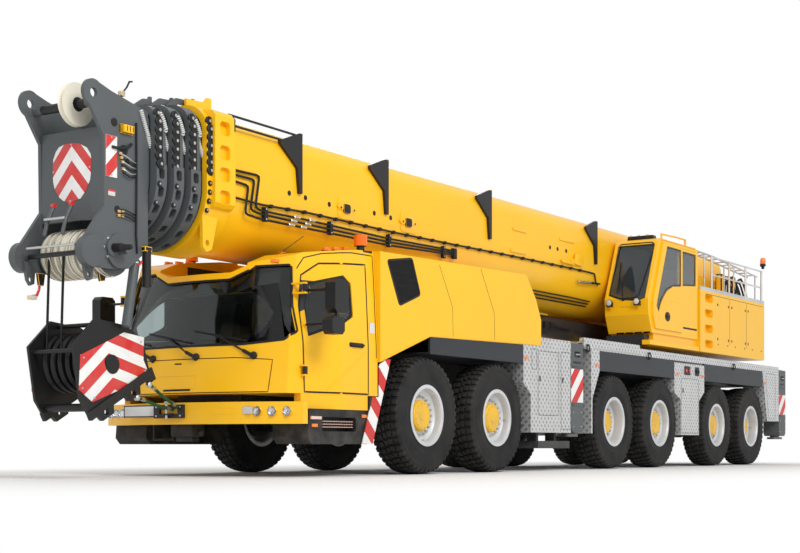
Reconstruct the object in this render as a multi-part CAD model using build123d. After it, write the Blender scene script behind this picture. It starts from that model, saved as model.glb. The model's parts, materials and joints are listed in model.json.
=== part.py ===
"""Six-axle mobile crane with a telescopic boom, as it stands ready for the road.

Millimetres. X runs forward, Y to the vehicle's left and Z up. The origin is on the ground,
under the middle of the length and width.
"""
import math
import os

from build123d import *

# Axles and wheels
AXLE_X = (4030, 2380, -1070, -2720, -5120, -6770)
DRIVEN = (True, True, False, True, True, False)
TRACK = 2465
WHEEL_R = 685
TYRE_W = 385
RIM_FLANGE_R = 360
RIM_W = 374
BEAD_SEAT_R = 318
RIM_WALL = 18
HUB_CAP_R = 180
HUB_CAP_Y = {True: 112, False: 22}
SPINDLE_R = 60
KINGPIN_OFFSET = 250
KINGPIN_R = 40
KNUCKLE_HEIGHT = 260
AXLE_TUBE_R = 100
BRAKE_R = 240
SPRING_Y = 520
SPRING_R = 65
SHAFT_R = 55

# Carrier
HALF_WIDTH = 1420
FRAME_HALF_W = 450
FRAME_BOTTOM = 900
FRAME_TOP = 1400
FRAME_FRONT = 6250
FRAME_REAR = -8560
SPRING_TOP = FRAME_TOP - 110
DECK_X = (-8250, -70)
DECK_TOP = 1800
DECK_EDGE = 110
SKIRT_BOTTOM = 1405
SKIRT_T = 30
SHEET = 25
LOCKER_BOTTOM = 510
LOCKER_TOP = DECK_TOP - DECK_EDGE
LOCKER_DEPTH = 400
STOWED_PAD = (300, 1220, 300, 400)
SLEW_X = -3920
PEDESTAL_R = 1000
PEDESTAL_TOP = 1870

# Outriggers: the left and right beams lie side by side in each cross box
BEAM_W = 320
BEAM_H = 400
BEAM_BOTTOM = 960
BEAM_WALL = 30
HEAD_DEPTH = 300
HEAD_TOP = 1750
HEAD_BOTTOM = 520
OUTRIGGER_X = {"front": (139, 486), "rear": (-8450, -8103)}
JACK_R = 85
JACK_FOOT_R = 140
JACK_FOOT_Z = 460

# Hood and engine
HOOD_FRONT = 5010
HOOD_REAR = 1210
HOOD_WALL = 40
TROUGH_HALF_W = 720
HOOD_TROUGH_TOP = 2280
HOOD_GRILLE = ((4860, 2400), (4370, 2470), (4200, 2080), (4620, 1930))
GRILLE_SLATS = 7
ENGINE = (1700, 3500, 420, 2150)

# Driver's cab
CAB_REAR = 5015
CAB_BOTTOM = 880
CAB_HALF_W = HALF_WIDTH - 35
CAB_WALL = 45
CAB_GLASS_T = 8
CAB_TROUGH_TOP = 2180
CAB_TURN_X = 5700
DOOR_REAR = 5200
DOOR_FRONT = 6200
DOOR_BOTTOM = 900
DOOR_GAP = 6
HINGE_X = DOOR_FRONT + 35
HINGE_Y = CAB_HALF_W - 85
HINGE_PIN_R = 12
HINGE_LEVELS = (1120, 1980)
MIRROR_Y = CAB_HALF_W + 275
BUMPER_BOTTOM = 560
BUMPER_TOP = 790
BUMPER_NOSE = 6735
BUMPER_DEPTH = 110

# Superstructure
PLATE_T = 30
PLATE_INNER = 625
PLATE_FRONT = -2700
BASE_TOP = 1950
HOUSE_FRONT = -4380
HOUSE_REAR = -7460
HOUSE_BOTTOM = 1890
HOUSE_TOP = 2910
CRANE_CAB_REAR = -4340
CRANE_CAB_NOSE = -2330
CRANE_CAB_INNER = 665
CRANE_CAB_BOTTOM = 2080
CRANE_CAB_TOP = 3570
# Height of the cab that its outlines are drawn for; they stretch with it
CRANE_CAB_DRAWN_H = 1490
CRANE_CAB_WALL = 40
SLIDE_DOOR_T = 30
RAIL_R = 18
RAIL_TOP = 590
RAIL_POSTS = (-4930, -5740, -6550, -7360)
FOOT_HOLES = (2030, 2285, 2540, 2790)
WINCH = (-5700, 2165)
WINCH_R = 170

# Boom
PIVOT = (-7170, 3150)
PIVOT_PIN_R = 110
BOOM_REAR = -7450
BOOM_HALF_W = 600
BOOM_BOTTOM = 2380
BOOM_TOP = 3800
BOOM_STEP = 40
BOOM_WALL = 18
COLLAR_FRONT = (7030, 7250, 7460, 7670)
COLLAR_LENGTH = (390, 150, 150, 150)
COLLAR_RISE = 70
COLLAR_STEP = 20
BOOM_CORNER_R = 250
BOOM_CENTRE_Z = BOOM_BOTTOM + BOOM_HALF_W
BASE_COLLAR_HALF_W = 700
BASE_WINDOWS = (3606, 3358, 3131, 2894)
BAND_WINDOW_ANGLES = (-6, 13, 32, 51, 70)
BRACKET_X = (5430, 3700, 1180, -2110)
PAD_X = (4640, 3330, -1340)

# Boom head and hook block
HEAD_REAR = 7690
HEAD_HALF_W = 450
HEAD_PLATE_T = 40
NOSE = (8484, 2175)
NOSE_R = 150
NOSE_SHAFT_R = 25
TOP_LUG = (8430, 3690)
LUG_R = 130
LUG_HOLE_R = 45
TOP_SHEAVE = (8370, 3620)
SHEAVE_R = 235
LOWER_SHEAVE = (8110, 2215)
SHEAVE_W = 60
GROOVE = 26
BLOCK_CENTRE = (8090, 1150)
BLOCK_HALF_W = 320
BLOCK_SHEAVE_R = 300
ROPE_R = 13
ROPE_Y = (-250, -50)
CHEEK_T = 30

# Lift cylinder
FOOT = (-4100, 2150)
EYE = (250, 2200)
BARREL_R = 165
ROD_R = 105
EYE_R = 150
EYE_W = 160
PIN_R = 55
LUG_GAP = 230

# Clearances
PIN_FIT = 0.08
SEAT = 0.3

AXES = {"x": Vector(1, 0, 0), "y": Vector(0, 1, 0), "z": Vector(0, 0, 1)}


def place(axis, level, a, b):
    """A point of an outline drawn across one axis: (y, z) for X, (x, z) for Y, (x, y) for Z."""
    return {"x": (level, a, b), "y": (a, level, b), "z": (a, b, level)}[axis]


def prism(outline, axis, low, high):
    """A straight body with this outline, from one level of the axis to the other."""
    face = Face(Wire.make_polygon([place(axis, low, a, b) for a, b in outline]))
    return Part() + Solid.extrude(face, AXES[axis] * (high - low))


def block(x, y, z):
    """A rectangular body between two levels of each axis."""
    return prism([(x[0], y[0]), (x[1], y[0]), (x[1], y[1]), (x[0], y[1])], "z", z[0], z[1])


def rod(start, end, radius):
    """A round bar from one point to another."""
    axis = Vector(*end) - Vector(*start)
    return Part() + Solid.make_cylinder(radius, axis.length, Plane(origin=start, z_dir=axis))


def turned(outline):
    """A body turned about the Y axis, from points of radius and Y."""
    face = Face(Wire.make_polygon([(r, y, 0) for r, y in outline]))
    return Part() + revolve(face, Axis.Y)


def cross_pin(centre, y_low, y_high, radius):
    """A round bar along Y through a point of the X-Z plane."""
    return rod((centre[0], y_low, centre[1]), (centre[0], y_high, centre[1]), radius)


def mirrored(shape):
    """The same body on the other side of the vehicle."""
    return mirror(shape, about=Plane.XZ)


def both_sides(shape):
    return shape + mirrored(shape)


def drawn_in(outline, gap):
    """The outline moved inwards by a gap all round, so that what it bounds fits inside."""
    ring = list(outline)
    area = sum(a[0] * b[1] - b[0] * a[1] for a, b in zip(ring, ring[1:] + ring[:1]))
    turn = 1 if area > 0 else -1
    normals = []
    for (a0, b0), (a1, b1) in zip(ring, ring[1:] + ring[:1]):
        length = math.hypot(a1 - a0, b1 - b0)
        normals.append((turn * (b0 - b1) / length, turn * (a1 - a0) / length))
    inner = []
    for index, (a, b) in enumerate(ring):
        (na, nb), (ma, mb) = normals[index - 1], normals[index]
        share = gap / (1 + na * ma + nb * mb)
        inner.append((a + (na + ma) * share, b + (nb + mb) * share))
    return inner


def soft_box(a, b, width, height, cut):
    """A rectangle about a centre, with its corners cut."""
    half_w = width / 2
    half_h = height / 2
    return [
        (a - half_w + cut, b - half_h),
        (a + half_w - cut, b - half_h),
        (a + half_w, b - half_h + cut),
        (a + half_w, b + half_h - cut),
        (a + half_w - cut, b + half_h),
        (a - half_w + cut, b + half_h),
        (a - half_w, b + half_h - cut),
        (a - half_w, b - half_h + cut),
    ]


def apart(shapes):
    """One node from pieces that don't touch."""
    return Compound([solid for shape in shapes for solid in shape.solids()])


NODES = {}


def keep(name, shape):
    NODES[name] = shape


# Wheels, knuckles and axles

def tyre():
    half = TYRE_W / 2
    bead = RIM_W / 2 - 14
    side = [
        (BEAD_SEAT_R + SEAT, bead),
        (RIM_FLANGE_R + 60, half),
        (WHEEL_R - 70, half - 8),
        (WHEEL_R, half - 50),
    ]
    return turned(side + [(r, -y) for r, y in reversed(side)])


def rim(driven):
    """Steel rim with its dished disc, hub and round hub cap; the outer side is +Y."""
    edge = RIM_W / 2
    bead = edge - 14 + SEAT
    inner = BEAD_SEAT_R - RIM_WALL
    cap = HUB_CAP_Y[driven]
    disc = cap - 52
    outline = [
        (RIM_FLANGE_R, -edge),
        (RIM_FLANGE_R, -bead - SEAT),
        (BEAD_SEAT_R, -bead - SEAT),
        (BEAD_SEAT_R, bead + SEAT),
        (RIM_FLANGE_R, bead + SEAT),
        (RIM_FLANGE_R, edge),
        (inner, edge),
        (inner, disc + 24),
        (inner - 45, disc),
        (HUB_CAP_R, disc),
        (HUB_CAP_R, cap - 14),
        (HUB_CAP_R - 18, cap),
        (0, cap),
        (0, cap - 60),
        (SPINDLE_R + PIN_FIT, cap - 60),
        (SPINDLE_R + PIN_FIT, -100),
        (115, -100),
        (115, disc - 28),
        (inner - 45, disc - 22),
        (inner, disc),
        (inner, -edge),
    ]
    return turned(outline)


def knuckle(driven):
    """Knuckle with kingpin barrel, spindle, brake drum and steering arm."""
    tip = HUB_CAP_Y[driven] - 65
    half = KNUCKLE_HEIGHT / 2
    barrel = rod((0, -KINGPIN_OFFSET, -half), (0, -KINGPIN_OFFSET, half), 75)
    spindle = rod((0, -KINGPIN_OFFSET, 0), (0, tip, 0), SPINDLE_R)
    drum = rod((0, -KINGPIN_OFFSET + 85, 0), (0, -110, 0), BRAKE_R)
    arm = block((-280, 0), (-KINGPIN_OFFSET - 45, -KINGPIN_OFFSET + 5), (-90, -60))
    bore = rod((0, -KINGPIN_OFFSET, -half - 1), (0, -KINGPIN_OFFSET, half + 1), KINGPIN_R + PIN_FIT)
    return barrel + drum + arm + spindle - bore


def axle():
    """Axle beam with its differential bulge, kingpin forks and spring cylinders."""
    king_y = TRACK / 2 - KINGPIN_OFFSET
    half = KNUCKLE_HEIGHT / 2 + 0.5
    fork_y = king_y - 150
    tube = rod((0, -fork_y, 0), (0, fork_y, 0), AXLE_TUBE_R)
    bulge = turned([(0, -230), (90, -230), (195, -90), (195, 90), (90, 230), (0, 230)])
    fork = block((-70, 70), (fork_y - 60, fork_y), (-half - 45, half + 45))
    for side in (-1, 1):
        low, high = sorted((side * half, side * (half + 45)))
        ear = block((-70, 70), (fork_y - 30, king_y), (low, high))
        ear += rod((0, king_y, low), (0, king_y, high), 70)
        fork += ear
    fork += rod((0, king_y, -half), (0, king_y, half), KINGPIN_R)
    spring = rod((0, SPRING_Y, 0), (0, SPRING_Y, SPRING_TOP - WHEEL_R), SPRING_R)
    return tube + bulge + both_sides(fork + spring)


def make_running_gear():
    axle_set = []
    pattern = axle()
    for number, (x, driven) in enumerate(zip(AXLE_X, DRIVEN), start=1):
        centre = Pos(x, TRACK / 2, WHEEL_R)
        left_wheel = [centre * tyre(), centre * rim(driven)]
        right_wheel = [mirrored(piece) for piece in left_wheel]
        left_knuckle = centre * knuckle(driven)
        keep(f"wheel_{number}_left", apart(left_wheel))
        keep(f"wheel_{number}_right", apart(right_wheel))
        keep(f"knuckle_{number}_left", left_knuckle)
        keep(f"knuckle_{number}_right", mirrored(left_knuckle))
        axle_set.append(Pos(x, 0, WHEEL_R) * pattern)
    for front, rear in ((0, 1), (3, 4)):
        start = (AXLE_X[front], 0, WHEEL_R)
        end = (AXLE_X[rear], 0, WHEEL_R)
        axle_set[front] = axle_set[front] + rod(start, end, SHAFT_R) + axle_set[rear]
        axle_set[rear] = None
    keep("axles", apart([piece for piece in axle_set if piece is not None]))


# Carrier

def beam_channel(x, side):
    """The space that one outrigger beam slides in, open at its own side."""
    half = BEAM_W / 2
    y = (-HALF_WIDTH + HEAD_DEPTH + 40, HALF_WIDTH)
    if side < 0:
        y = (-y[1], -y[0])
    return block((x - half - 5, x + half + 5), y, (BEAM_BOTTOM - SEAT, BEAM_BOTTOM + BEAM_H + 5))


def chassis_frame():
    nose = [
        (FRAME_REAR, FRAME_BOTTOM + 120),
        (FRAME_REAR + 500, FRAME_BOTTOM),
        (4780, FRAME_BOTTOM),
        (5020, 620),
        (FRAME_FRONT, 600),
        (FRAME_FRONT, CAB_BOTTOM),
        (CAB_REAR - 15, CAB_BOTTOM),
        (4700, FRAME_TOP),
        (FRAME_REAR, FRAME_TOP),
    ]
    frame = prism(nose, "y", -FRAME_HALF_W, FRAME_HALF_W)
    for x in AXLE_X:
        bracket = [
            (x - 140, FRAME_TOP),
            (x - 90, SPRING_TOP),
            (x + 90, SPRING_TOP),
            (x + 140, FRAME_TOP),
        ]
        frame += both_sides(prism(bracket, "y", FRAME_HALF_W, SPRING_Y + SPRING_R + 15))
    frame += rod((SLEW_X, 0, FRAME_TOP), (SLEW_X, 0, PEDESTAL_TOP), PEDESTAL_R)
    lamp_bar = block((FRAME_REAR, FRAME_REAR + 60), (0, HALF_WIDTH - 330), (790, 890))
    lamp_bar += block((FRAME_REAR, FRAME_REAR + 60), (250, 330), (890, FRAME_BOTTOM + 140))
    frame += both_sides(lamp_bar)
    for left_x, right_x in OUTRIGGER_X.values():
        frame += cross_box(left_x, right_x, 0)
    for left_x, right_x in OUTRIGGER_X.values():
        frame -= beam_channel(left_x, 1)
        frame -= beam_channel(right_x, -1)
    return frame


def outrigger_beam(x):
    """Beam of the left side, with the upright box at its end that holds the jack."""
    half = BEAM_W / 2
    inner = -HALF_WIDTH + HEAD_DEPTH + 60
    outer = HALF_WIDTH - HEAD_DEPTH
    beam = block((x - half, x + half), (inner, outer), (BEAM_BOTTOM, BEAM_BOTTOM + BEAM_H))
    head_half = half + 26
    head = [
        (x - head_half, HEAD_BOTTOM + 60),
        (x - head_half + 60, HEAD_BOTTOM),
        (x + head_half - 60, HEAD_BOTTOM),
        (x + head_half, HEAD_BOTTOM + 60),
        (x + head_half, HEAD_TOP),
        (x - head_half, HEAD_TOP),
    ]
    beam += prism(head, "y", outer, HALF_WIDTH)
    slot = block((x - 90, x + 90), (HALF_WIDTH - 40, HALF_WIDTH + 1), (HEAD_TOP - 190, HEAD_TOP - 110))
    bore_y = HALF_WIDTH - HEAD_DEPTH / 2
    bore = rod((x, bore_y, HEAD_BOTTOM - 1), (x, bore_y, HEAD_TOP - 240), JACK_R + PIN_FIT)
    return beam - slot - bore


def outrigger_jack(x):
    y = HALF_WIDTH - HEAD_DEPTH / 2
    shaft = rod((x, y, JACK_FOOT_Z + 20), (x, y, HEAD_TOP - 250), JACK_R)
    foot = rod((x, y, JACK_FOOT_Z), (x, y, JACK_FOOT_Z + 40), JACK_FOOT_R)
    return shaft + foot


def make_outriggers():
    for end, (left_x, right_x) in OUTRIGGER_X.items():
        keep(f"outrigger_beam_{end}_left", outrigger_beam(left_x))
        keep(f"outrigger_beam_{end}_right", mirrored(outrigger_beam(right_x)))
        keep(f"outrigger_jack_{end}_left", outrigger_jack(left_x))
        keep(f"outrigger_jack_{end}_right", mirrored(outrigger_jack(right_x)))


def cross_box(left_x, right_x, spare):
    """Outer form of an outrigger cross box, made larger all round by a spare."""
    low = min(left_x, right_x) - BEAM_W / 2 - BEAM_WALL - spare
    high = max(left_x, right_x) + BEAM_W / 2 + BEAM_WALL + spare
    side = HALF_WIDTH - HEAD_DEPTH - 10 + spare
    z = (BEAM_BOTTOM - BEAM_WALL - spare, BEAM_BOTTOM + BEAM_H + BEAM_WALL + spare)
    return block((low, high), (-side, side), z)


def head_room(x, side):
    """The room that the upright box of an outrigger needs beside the lockers."""
    half = BEAM_W / 2 + 36
    y = sorted((side * (HALF_WIDTH - HEAD_DEPTH - 15), side * (HALF_WIDTH + 1)))
    return block((x - half, x + half), y, (LOCKER_BOTTOM - 200, DECK_TOP + 1))


# Outlines in X and Z of the lockers of one side; their slanted edges leave room for steered wheels
LOCKERS = (
    ((1700, 1649), (1700, 1150), (1500, 1010), (1500, LOCKER_BOTTOM),
     (-30, LOCKER_BOTTOM), (-30, 1770), (1205, 1770), (1205, 1659)),
    ((-300, LOCKER_TOP), (-300, LOCKER_BOTTOM), (-340, LOCKER_BOTTOM),
     (-340, 1000), (-570, 1400), (-570, LOCKER_TOP)),
    ((-3290, LOCKER_TOP - 30), (-3290, 1180), (-3550, 1070), (-3550, LOCKER_BOTTOM),
     (-4320, LOCKER_BOTTOM), (-4320, 1070), (-4550, 1220), (-4550, LOCKER_TOP - 30)),
    ((-7370, LOCKER_TOP), (-7620, 790), (DECK_X[0], 790), (DECK_X[0], LOCKER_TOP)),
)


def deck_and_lockers():
    deck = block(DECK_X, (-HALF_WIDTH, HALF_WIDTH), (DECK_TOP - SHEET, DECK_TOP))
    edge = block(DECK_X, (HALF_WIDTH - SHEET, HALF_WIDTH), (LOCKER_TOP, DECK_TOP))
    strip_z = (DECK_TOP - SHEET, DECK_TOP + 50)
    lockers = edge + block((-1970, DECK_X[1]), (HALF_WIDTH - 70, HALF_WIDTH), strip_z)
    for outline in LOCKERS:
        lockers += prism(outline, "y", HALF_WIDTH - LOCKER_DEPTH, HALF_WIDTH)
    deck += both_sides(lockers)
    deck -= rod((SLEW_X, 0, FRAME_TOP), (SLEW_X, 0, DECK_TOP + 1), PEDESTAL_R + SEAT)
    for left_x, right_x in OUTRIGGER_X.values():
        deck -= cross_box(left_x, right_x, SEAT)
        deck -= head_room(left_x, 1)
        deck -= head_room(right_x, -1)
    return deck


# Skirt panels: front x, rear x, front top z, rear top z
SKIRTS = (
    (3970, 1700, 1606, 1649),
    (-570, -3290, DECK_TOP - DECK_EDGE, DECK_TOP - DECK_EDGE),
    (-4550, -7370, DECK_TOP - DECK_EDGE, DECK_TOP - DECK_EDGE),
)


def mudguards_and_steps():
    """Skirts, wheel arches, mudguards behind the cab, the cab's step boxes and a stowed float pad."""
    parts = []
    for front, rear, front_top, rear_top in SKIRTS:
        outline = [(front, SKIRT_BOTTOM), (front, front_top), (rear, rear_top), (rear, SKIRT_BOTTOM)]
        panel = prism(outline, "y", HALF_WIDTH - SKIRT_T, HALF_WIDTH - 1)
        arch = block((rear, front), (600, HALF_WIDTH - 1), (SKIRT_BOTTOM, SKIRT_BOTTOM + SHEET))
        arch -= rod((SLEW_X, 0, FRAME_TOP), (SLEW_X, 0, DECK_TOP), PEDESTAL_R + SEAT)
        parts.append(panel + arch)
    guard = [
        (4860, 1300),
        (4773, 1300),
        (5130, 354),
        (5330, 354),
        (5190, 720),
        (5190, CAB_BOTTOM - 10),
        (CAB_REAR - 10, CAB_BOTTOM - 10),
        (CAB_REAR - 10, 1230),
    ]
    parts.append(prism(guard, "y", HALF_WIDTH - 660, HALF_WIDTH - 20))
    steps = [(DOOR_REAR, 350), (6210, 350), (6280, 420), (6250, 720), (DOOR_REAR, 720)]
    step_box = prism(steps, "y", HALF_WIDTH - 520, HALF_WIDTH - 50)
    tread = soft_box(5720, 560, 620, 150, 20)
    parts.append(step_box - prism(tread, "y", HALF_WIDTH - 180, HALF_WIDTH))
    whole = parts[0]
    for piece in parts[1:]:
        whole += piece
    rear, front, low, high = STOWED_PAD
    pad = block((rear, front), (HALF_WIDTH - 420, HALF_WIDTH - 40), (low, high))
    for x in (rear + 200, front - 200):
        pad += block((x - 30, x + 30), (HALF_WIDTH - 300, HALF_WIDTH - 160), (high, LOCKER_BOTTOM))
    return both_sides(whole) + pad


def hood_outline(inset):
    """Side outline of the hood in X and Z."""
    return [
        (HOOD_FRONT - inset, 1260 - inset * 2),
        (3970, 1606 - inset * 2),
        (HOOD_REAR + inset, 1660 - inset * 2),
        (HOOD_REAR + inset, 2000),
        (1350 + inset, 2260),
        (1620 + inset, 2560 - inset),
        (HOOD_FRONT - inset, 2490 - inset),
    ]


def engine_hood():
    body = prism(hood_outline(0), "y", -HALF_WIDTH, HALF_WIDTH)
    trough = [
        (-TROUGH_HALF_W, 2700),
        (-TROUGH_HALF_W, HOOD_TROUGH_TOP + 60),
        (-TROUGH_HALF_W + 120, HOOD_TROUGH_TOP),
        (TROUGH_HALF_W - 120, HOOD_TROUGH_TOP),
        (TROUGH_HALF_W, HOOD_TROUGH_TOP + 60),
        (TROUGH_HALF_W, 2700),
    ]
    body -= prism(trough, "x", HOOD_REAR - 1, HOOD_FRONT + 1)
    hollow = prism(hood_outline(HOOD_WALL), "y", HOOD_WALL - HALF_WIDTH, HALF_WIDTH - HOOD_WALL)
    wall_y = TROUGH_HALF_W + HOOD_WALL
    under = [
        (-wall_y, 2700),
        (-wall_y, HOOD_TROUGH_TOP + 30),
        (120 - TROUGH_HALF_W, HOOD_TROUGH_TOP - HOOD_WALL),
        (TROUGH_HALF_W - 120, HOOD_TROUGH_TOP - HOOD_WALL),
        (wall_y, HOOD_TROUGH_TOP + 30),
        (wall_y, 2700),
    ]
    hollow -= prism(under, "x", HOOD_REAR - 1, HOOD_FRONT + 1)
    return body - hollow - both_sides(hood_grille())


def hood_grille():
    """The slots between the slats of the slanted air grille in the hood's side."""
    depth = HOOD_WALL / 2
    opening = prism(HOOD_GRILLE, "y", HALF_WIDTH - depth, HALF_WIDTH + 1)
    low = min(z for x, z in HOOD_GRILLE)
    high = max(z for x, z in HOOD_GRILLE)
    pitch = (high - low) / GRILLE_SLATS
    for number in range(1, GRILLE_SLATS):
        level = low + number * pitch
        slat = block((3900, 5000), (HALF_WIDTH - depth - 1, HALF_WIDTH - 4), (level - pitch / 4, level))
        opening -= slat
    return opening


def engine_block():
    x0, x1, half, top = ENGINE
    return block((x0, x1), (-half, half), (FRAME_TOP, top))


# Driver's cab: level, side, x where the side turns in, corner x and y, front x in the middle
CAB_SECTIONS = (
    (CAB_BOTTOM, CAB_HALF_W, CAB_TURN_X, 6440, CAB_HALF_W - 170, 6680),
    (1420, CAB_HALF_W, CAB_TURN_X, 6380, CAB_HALF_W - 180, 6600),
    (2150, CAB_HALF_W - 35, CAB_TURN_X - 50, 6190, CAB_HALF_W - 255, 6450),
    (2620, CAB_HALF_W - 65, CAB_TURN_X - 100, 6060, CAB_HALF_W - 305, 6350),
)


def cab_section(level, side, turn_x, corner_x, corner_y, front_x, inset):
    """Plan outline of the cab at one level, as a closed wire."""
    rear = (CAB_REAR + inset, side - inset, level)
    turn = (turn_x, side - inset, level)
    corner = (corner_x - inset, corner_y - inset * 0.6, level)
    nose = (front_x - inset, 0, level)
    right = [(x, -y, z) for x, y, z in (corner, turn, rear)]
    edges = [
        Edge.make_line(rear, turn),
        Edge.make_line(turn, corner),
        Edge.make_three_point_arc(corner, nose, right[0]),
        Edge.make_line(right[0], right[1]),
        Edge.make_line(right[1], right[2]),
        Edge.make_line(right[2], rear),
    ]
    return Wire(edges)


def cab_form(inset, floor):
    """The cab's closed outer form, or the space inside its walls, from a floor level up."""
    wires = [cab_section(*row, inset) for row in CAB_SECTIONS]
    form = Part() + Solid.make_loft(wires, ruled=True)
    roof = [
        (CAB_REAR - 100, floor),
        (CAB_REAR - 100, 2500 - inset),
        (5330, 2475 - inset),
        (6050, 2385 - inset),
        (6420, 2250 - inset),
        (6900, 2190 - inset),
        (6900, floor),
    ]
    form &= prism(roof, "y", -1500, 1500)
    trough = [
        (-620 - inset, 2700),
        (-620 - inset, 2250 - inset),
        (-440 - inset, CAB_TROUGH_TOP - inset),
        (440 + inset, CAB_TROUGH_TOP - inset),
        (620 + inset, 2250 - inset),
        (620 + inset, 2700),
    ]
    return form - prism(trough, "x", CAB_REAR - 200, 7000)


DOOR = (
    (DOOR_REAR, DOOR_BOTTOM),
    (DOOR_REAR, 2320),
    (5900, 2270),
    (6120, 2130),
    (DOOR_FRONT, 1800),
    (DOOR_FRONT, DOOR_BOTTOM),
)
DOOR_WINDOW = (
    (5480, 2090),
    (5460, 1730),
    (5600, 1660),
    (6130, 1480),
    (6140, 1800),
    (6060, 2060),
    (5620, 2170),
)
# One half of the windscreen's outline in Y and Z, from the top middle outwards
SCREEN_HALF = (
    (440, 2100),
    (640, 2190),
    (CAB_HALF_W - 695, 2230),
    (CAB_HALF_W - 310, 2240),
    (CAB_HALF_W - 170, 1520),
    (CAB_HALF_W - 235, 1440),
    (700, 1400),
)
WINDSCREEN = SCREEN_HALF + tuple((-y, z) for y, z in reversed(SCREEN_HALF))
REAR_WINDOW = ((-380, 1500), (-380, 2000), (380, 2000), (380, 1500))
# The flap in the cab's nose, in Y and Z
NOSE_FLAP = ((-1020, 900), (1020, 900), (1040, 1225), (640, 1250), (-640, 1250), (-1040, 1225))


def hinge_barrel(level):
    barrel = rod((HINGE_X, HINGE_Y, level - 40), (HINGE_X, HINGE_Y, level + 40), 24)
    leaf = [
        (DOOR_FRONT - 80, HINGE_Y - 75),
        (HINGE_X, HINGE_Y - 8),
        (HINGE_X, HINGE_Y + 12),
        (DOOR_FRONT - 100, HINGE_Y - 38),
    ]
    bore = rod((HINGE_X, HINGE_Y, level - 50), (HINGE_X, HINGE_Y, level + 50), HINGE_PIN_R + PIN_FIT)
    return barrel + prism(leaf, "z", level - 40, level + 40) - bore


def hinge_ears(level):
    ears = rod((HINGE_X, HINGE_Y, level - 60), (HINGE_X, HINGE_Y, level + 60), HINGE_PIN_R)
    for low in (level - 60, level + 41):
        ears += block((HINGE_X - 18, HINGE_X + 24), (HINGE_Y - 160, HINGE_Y + 18), (low, low + 19))
    return ears


def mirror_arms():
    """Two mirror housings on the arms that the door carries."""
    mast_x = DOOR_FRONT - 20
    arms = rod((mast_x, MIRROR_Y, 1560), (mast_x, MIRROR_Y, 2000), 16)
    for level in (1600, 1960):
        arms += rod((mast_x - 12, HINGE_Y - 78, level), (mast_x, MIRROR_Y, level), 14)
    for centre_x, centre_z, width, height in ((6170, 1875, 240, 350), (6230, 1570, 220, 180)):
        outline = soft_box(centre_x, centre_z, width, height, 40)
        arms += prism(outline, "y", MIRROR_Y - 60, MIRROR_Y + 70)
    return arms


def make_driver_cab():
    outer = cab_form(0, CAB_BOTTOM)
    shell = outer - cab_form(CAB_WALL, CAB_BOTTOM + CAB_WALL)
    wall = outer - cab_form(CAB_WALL, CAB_BOTTOM)
    middle = CAB_WALL / 2
    skin = cab_form(middle - CAB_GLASS_T / 2, CAB_BOTTOM) - cab_form(middle + CAB_GLASS_T / 2, CAB_BOTTOM)
    inside = CAB_HALF_W - 385
    outside = CAB_HALF_W + 215
    door_cut = wall & prism(DOOR, "y", inside, outside)
    door = wall & prism(drawn_in(DOOR, DOOR_GAP), "y", inside, outside)
    door -= prism(DOOR_WINDOW, "y", inside, outside)
    pane = skin & prism(drawn_in(DOOR_WINDOW, SEAT), "y", inside, outside)
    nose = BUMPER_NOSE + 200
    screen_cut = prism(WINDSCREEN, "x", CAB_TURN_X, nose)
    screen = skin & prism(drawn_in(WINDSCREEN, SEAT), "x", CAB_TURN_X, nose)
    rear_cut = prism(REAR_WINDOW, "x", CAB_REAR - 50, CAB_REAR + 100)
    rear_pane = skin & prism(drawn_in(REAR_WINDOW, SEAT), "x", CAB_REAR - 50, CAB_REAR + 100)
    flap = cab_form(-10, CAB_BOTTOM) - cab_form(middle, CAB_BOTTOM)
    flap &= prism(NOSE_FLAP, "x", CAB_TURN_X, nose)
    shell = shell - door_cut - mirrored(door_cut) - screen_cut - rear_cut + flap
    sill = [
        (DOOR_REAR, CAB_HALF_W - 5),
        (CAB_TURN_X, CAB_HALF_W - 5),
        (6250, CAB_HALF_W - 130),
        (6250, CAB_HALF_W - 215),
        (CAB_TURN_X, CAB_HALF_W - 85),
        (DOOR_REAR, CAB_HALF_W - 85),
    ]
    shell += both_sides(prism(sill, "z", 720, CAB_BOTTOM + 5))
    shell += both_sides(roof_beacon())
    for level in HINGE_LEVELS:
        shell += both_sides(hinge_ears(level))
        door += hinge_barrel(level)
    door += mirror_arms()
    keep("cab_shell", shell)
    keep("cab_glass", apart([screen, rear_pane]))
    keep("cab_door_left", door)
    keep("cab_door_right", mirrored(door))
    keep("cab_door_glass_left", pane)
    keep("cab_door_glass_right", mirrored(pane))


def roof_beacon():
    """Rotating beacon on the roof's rear corner."""
    x = CAB_REAR + 115
    y = CAB_HALF_W - 150
    foot = rod((x, y, 2440), (x, y, 2550), 45)
    return foot + rod((x, y, 2545), (x, y, 2665), 75)


def seat(x, y, floor):
    """A driver's seat on its pedestal."""
    base = block((x - 180, x + 180), (y - 180, y + 180), (floor, floor + 330))
    cushion = block((x - 250, x + 270), (y - 250, y + 250), (floor + 330, floor + 450))
    back = [
        (x - 250, floor + 400),
        (x - 130, floor + 400),
        (x - 250, floor + 1050),
        (x - 360, floor + 1050),
    ]
    return base + cushion + prism(back, "y", y - 240, y + 240)


def cab_interior():
    floor = CAB_BOTTOM + CAB_WALL
    dash_outline = [(6180, floor), (6360, floor), (6360, 1360), (6180, 1400), (6050, 1330)]
    dash = prism(dash_outline, "y", 325 - CAB_HALF_W, CAB_HALF_W - 325)
    dash += rod((6100, 620, 1330), (5900, 620, 1500), 25)
    dash += rod((5905, 620, 1495), (5885, 620, 1512), 220)
    left_seat = seat(5560, 640, floor)
    return apart([dash, left_seat, mirrored(left_seat)])


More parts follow.
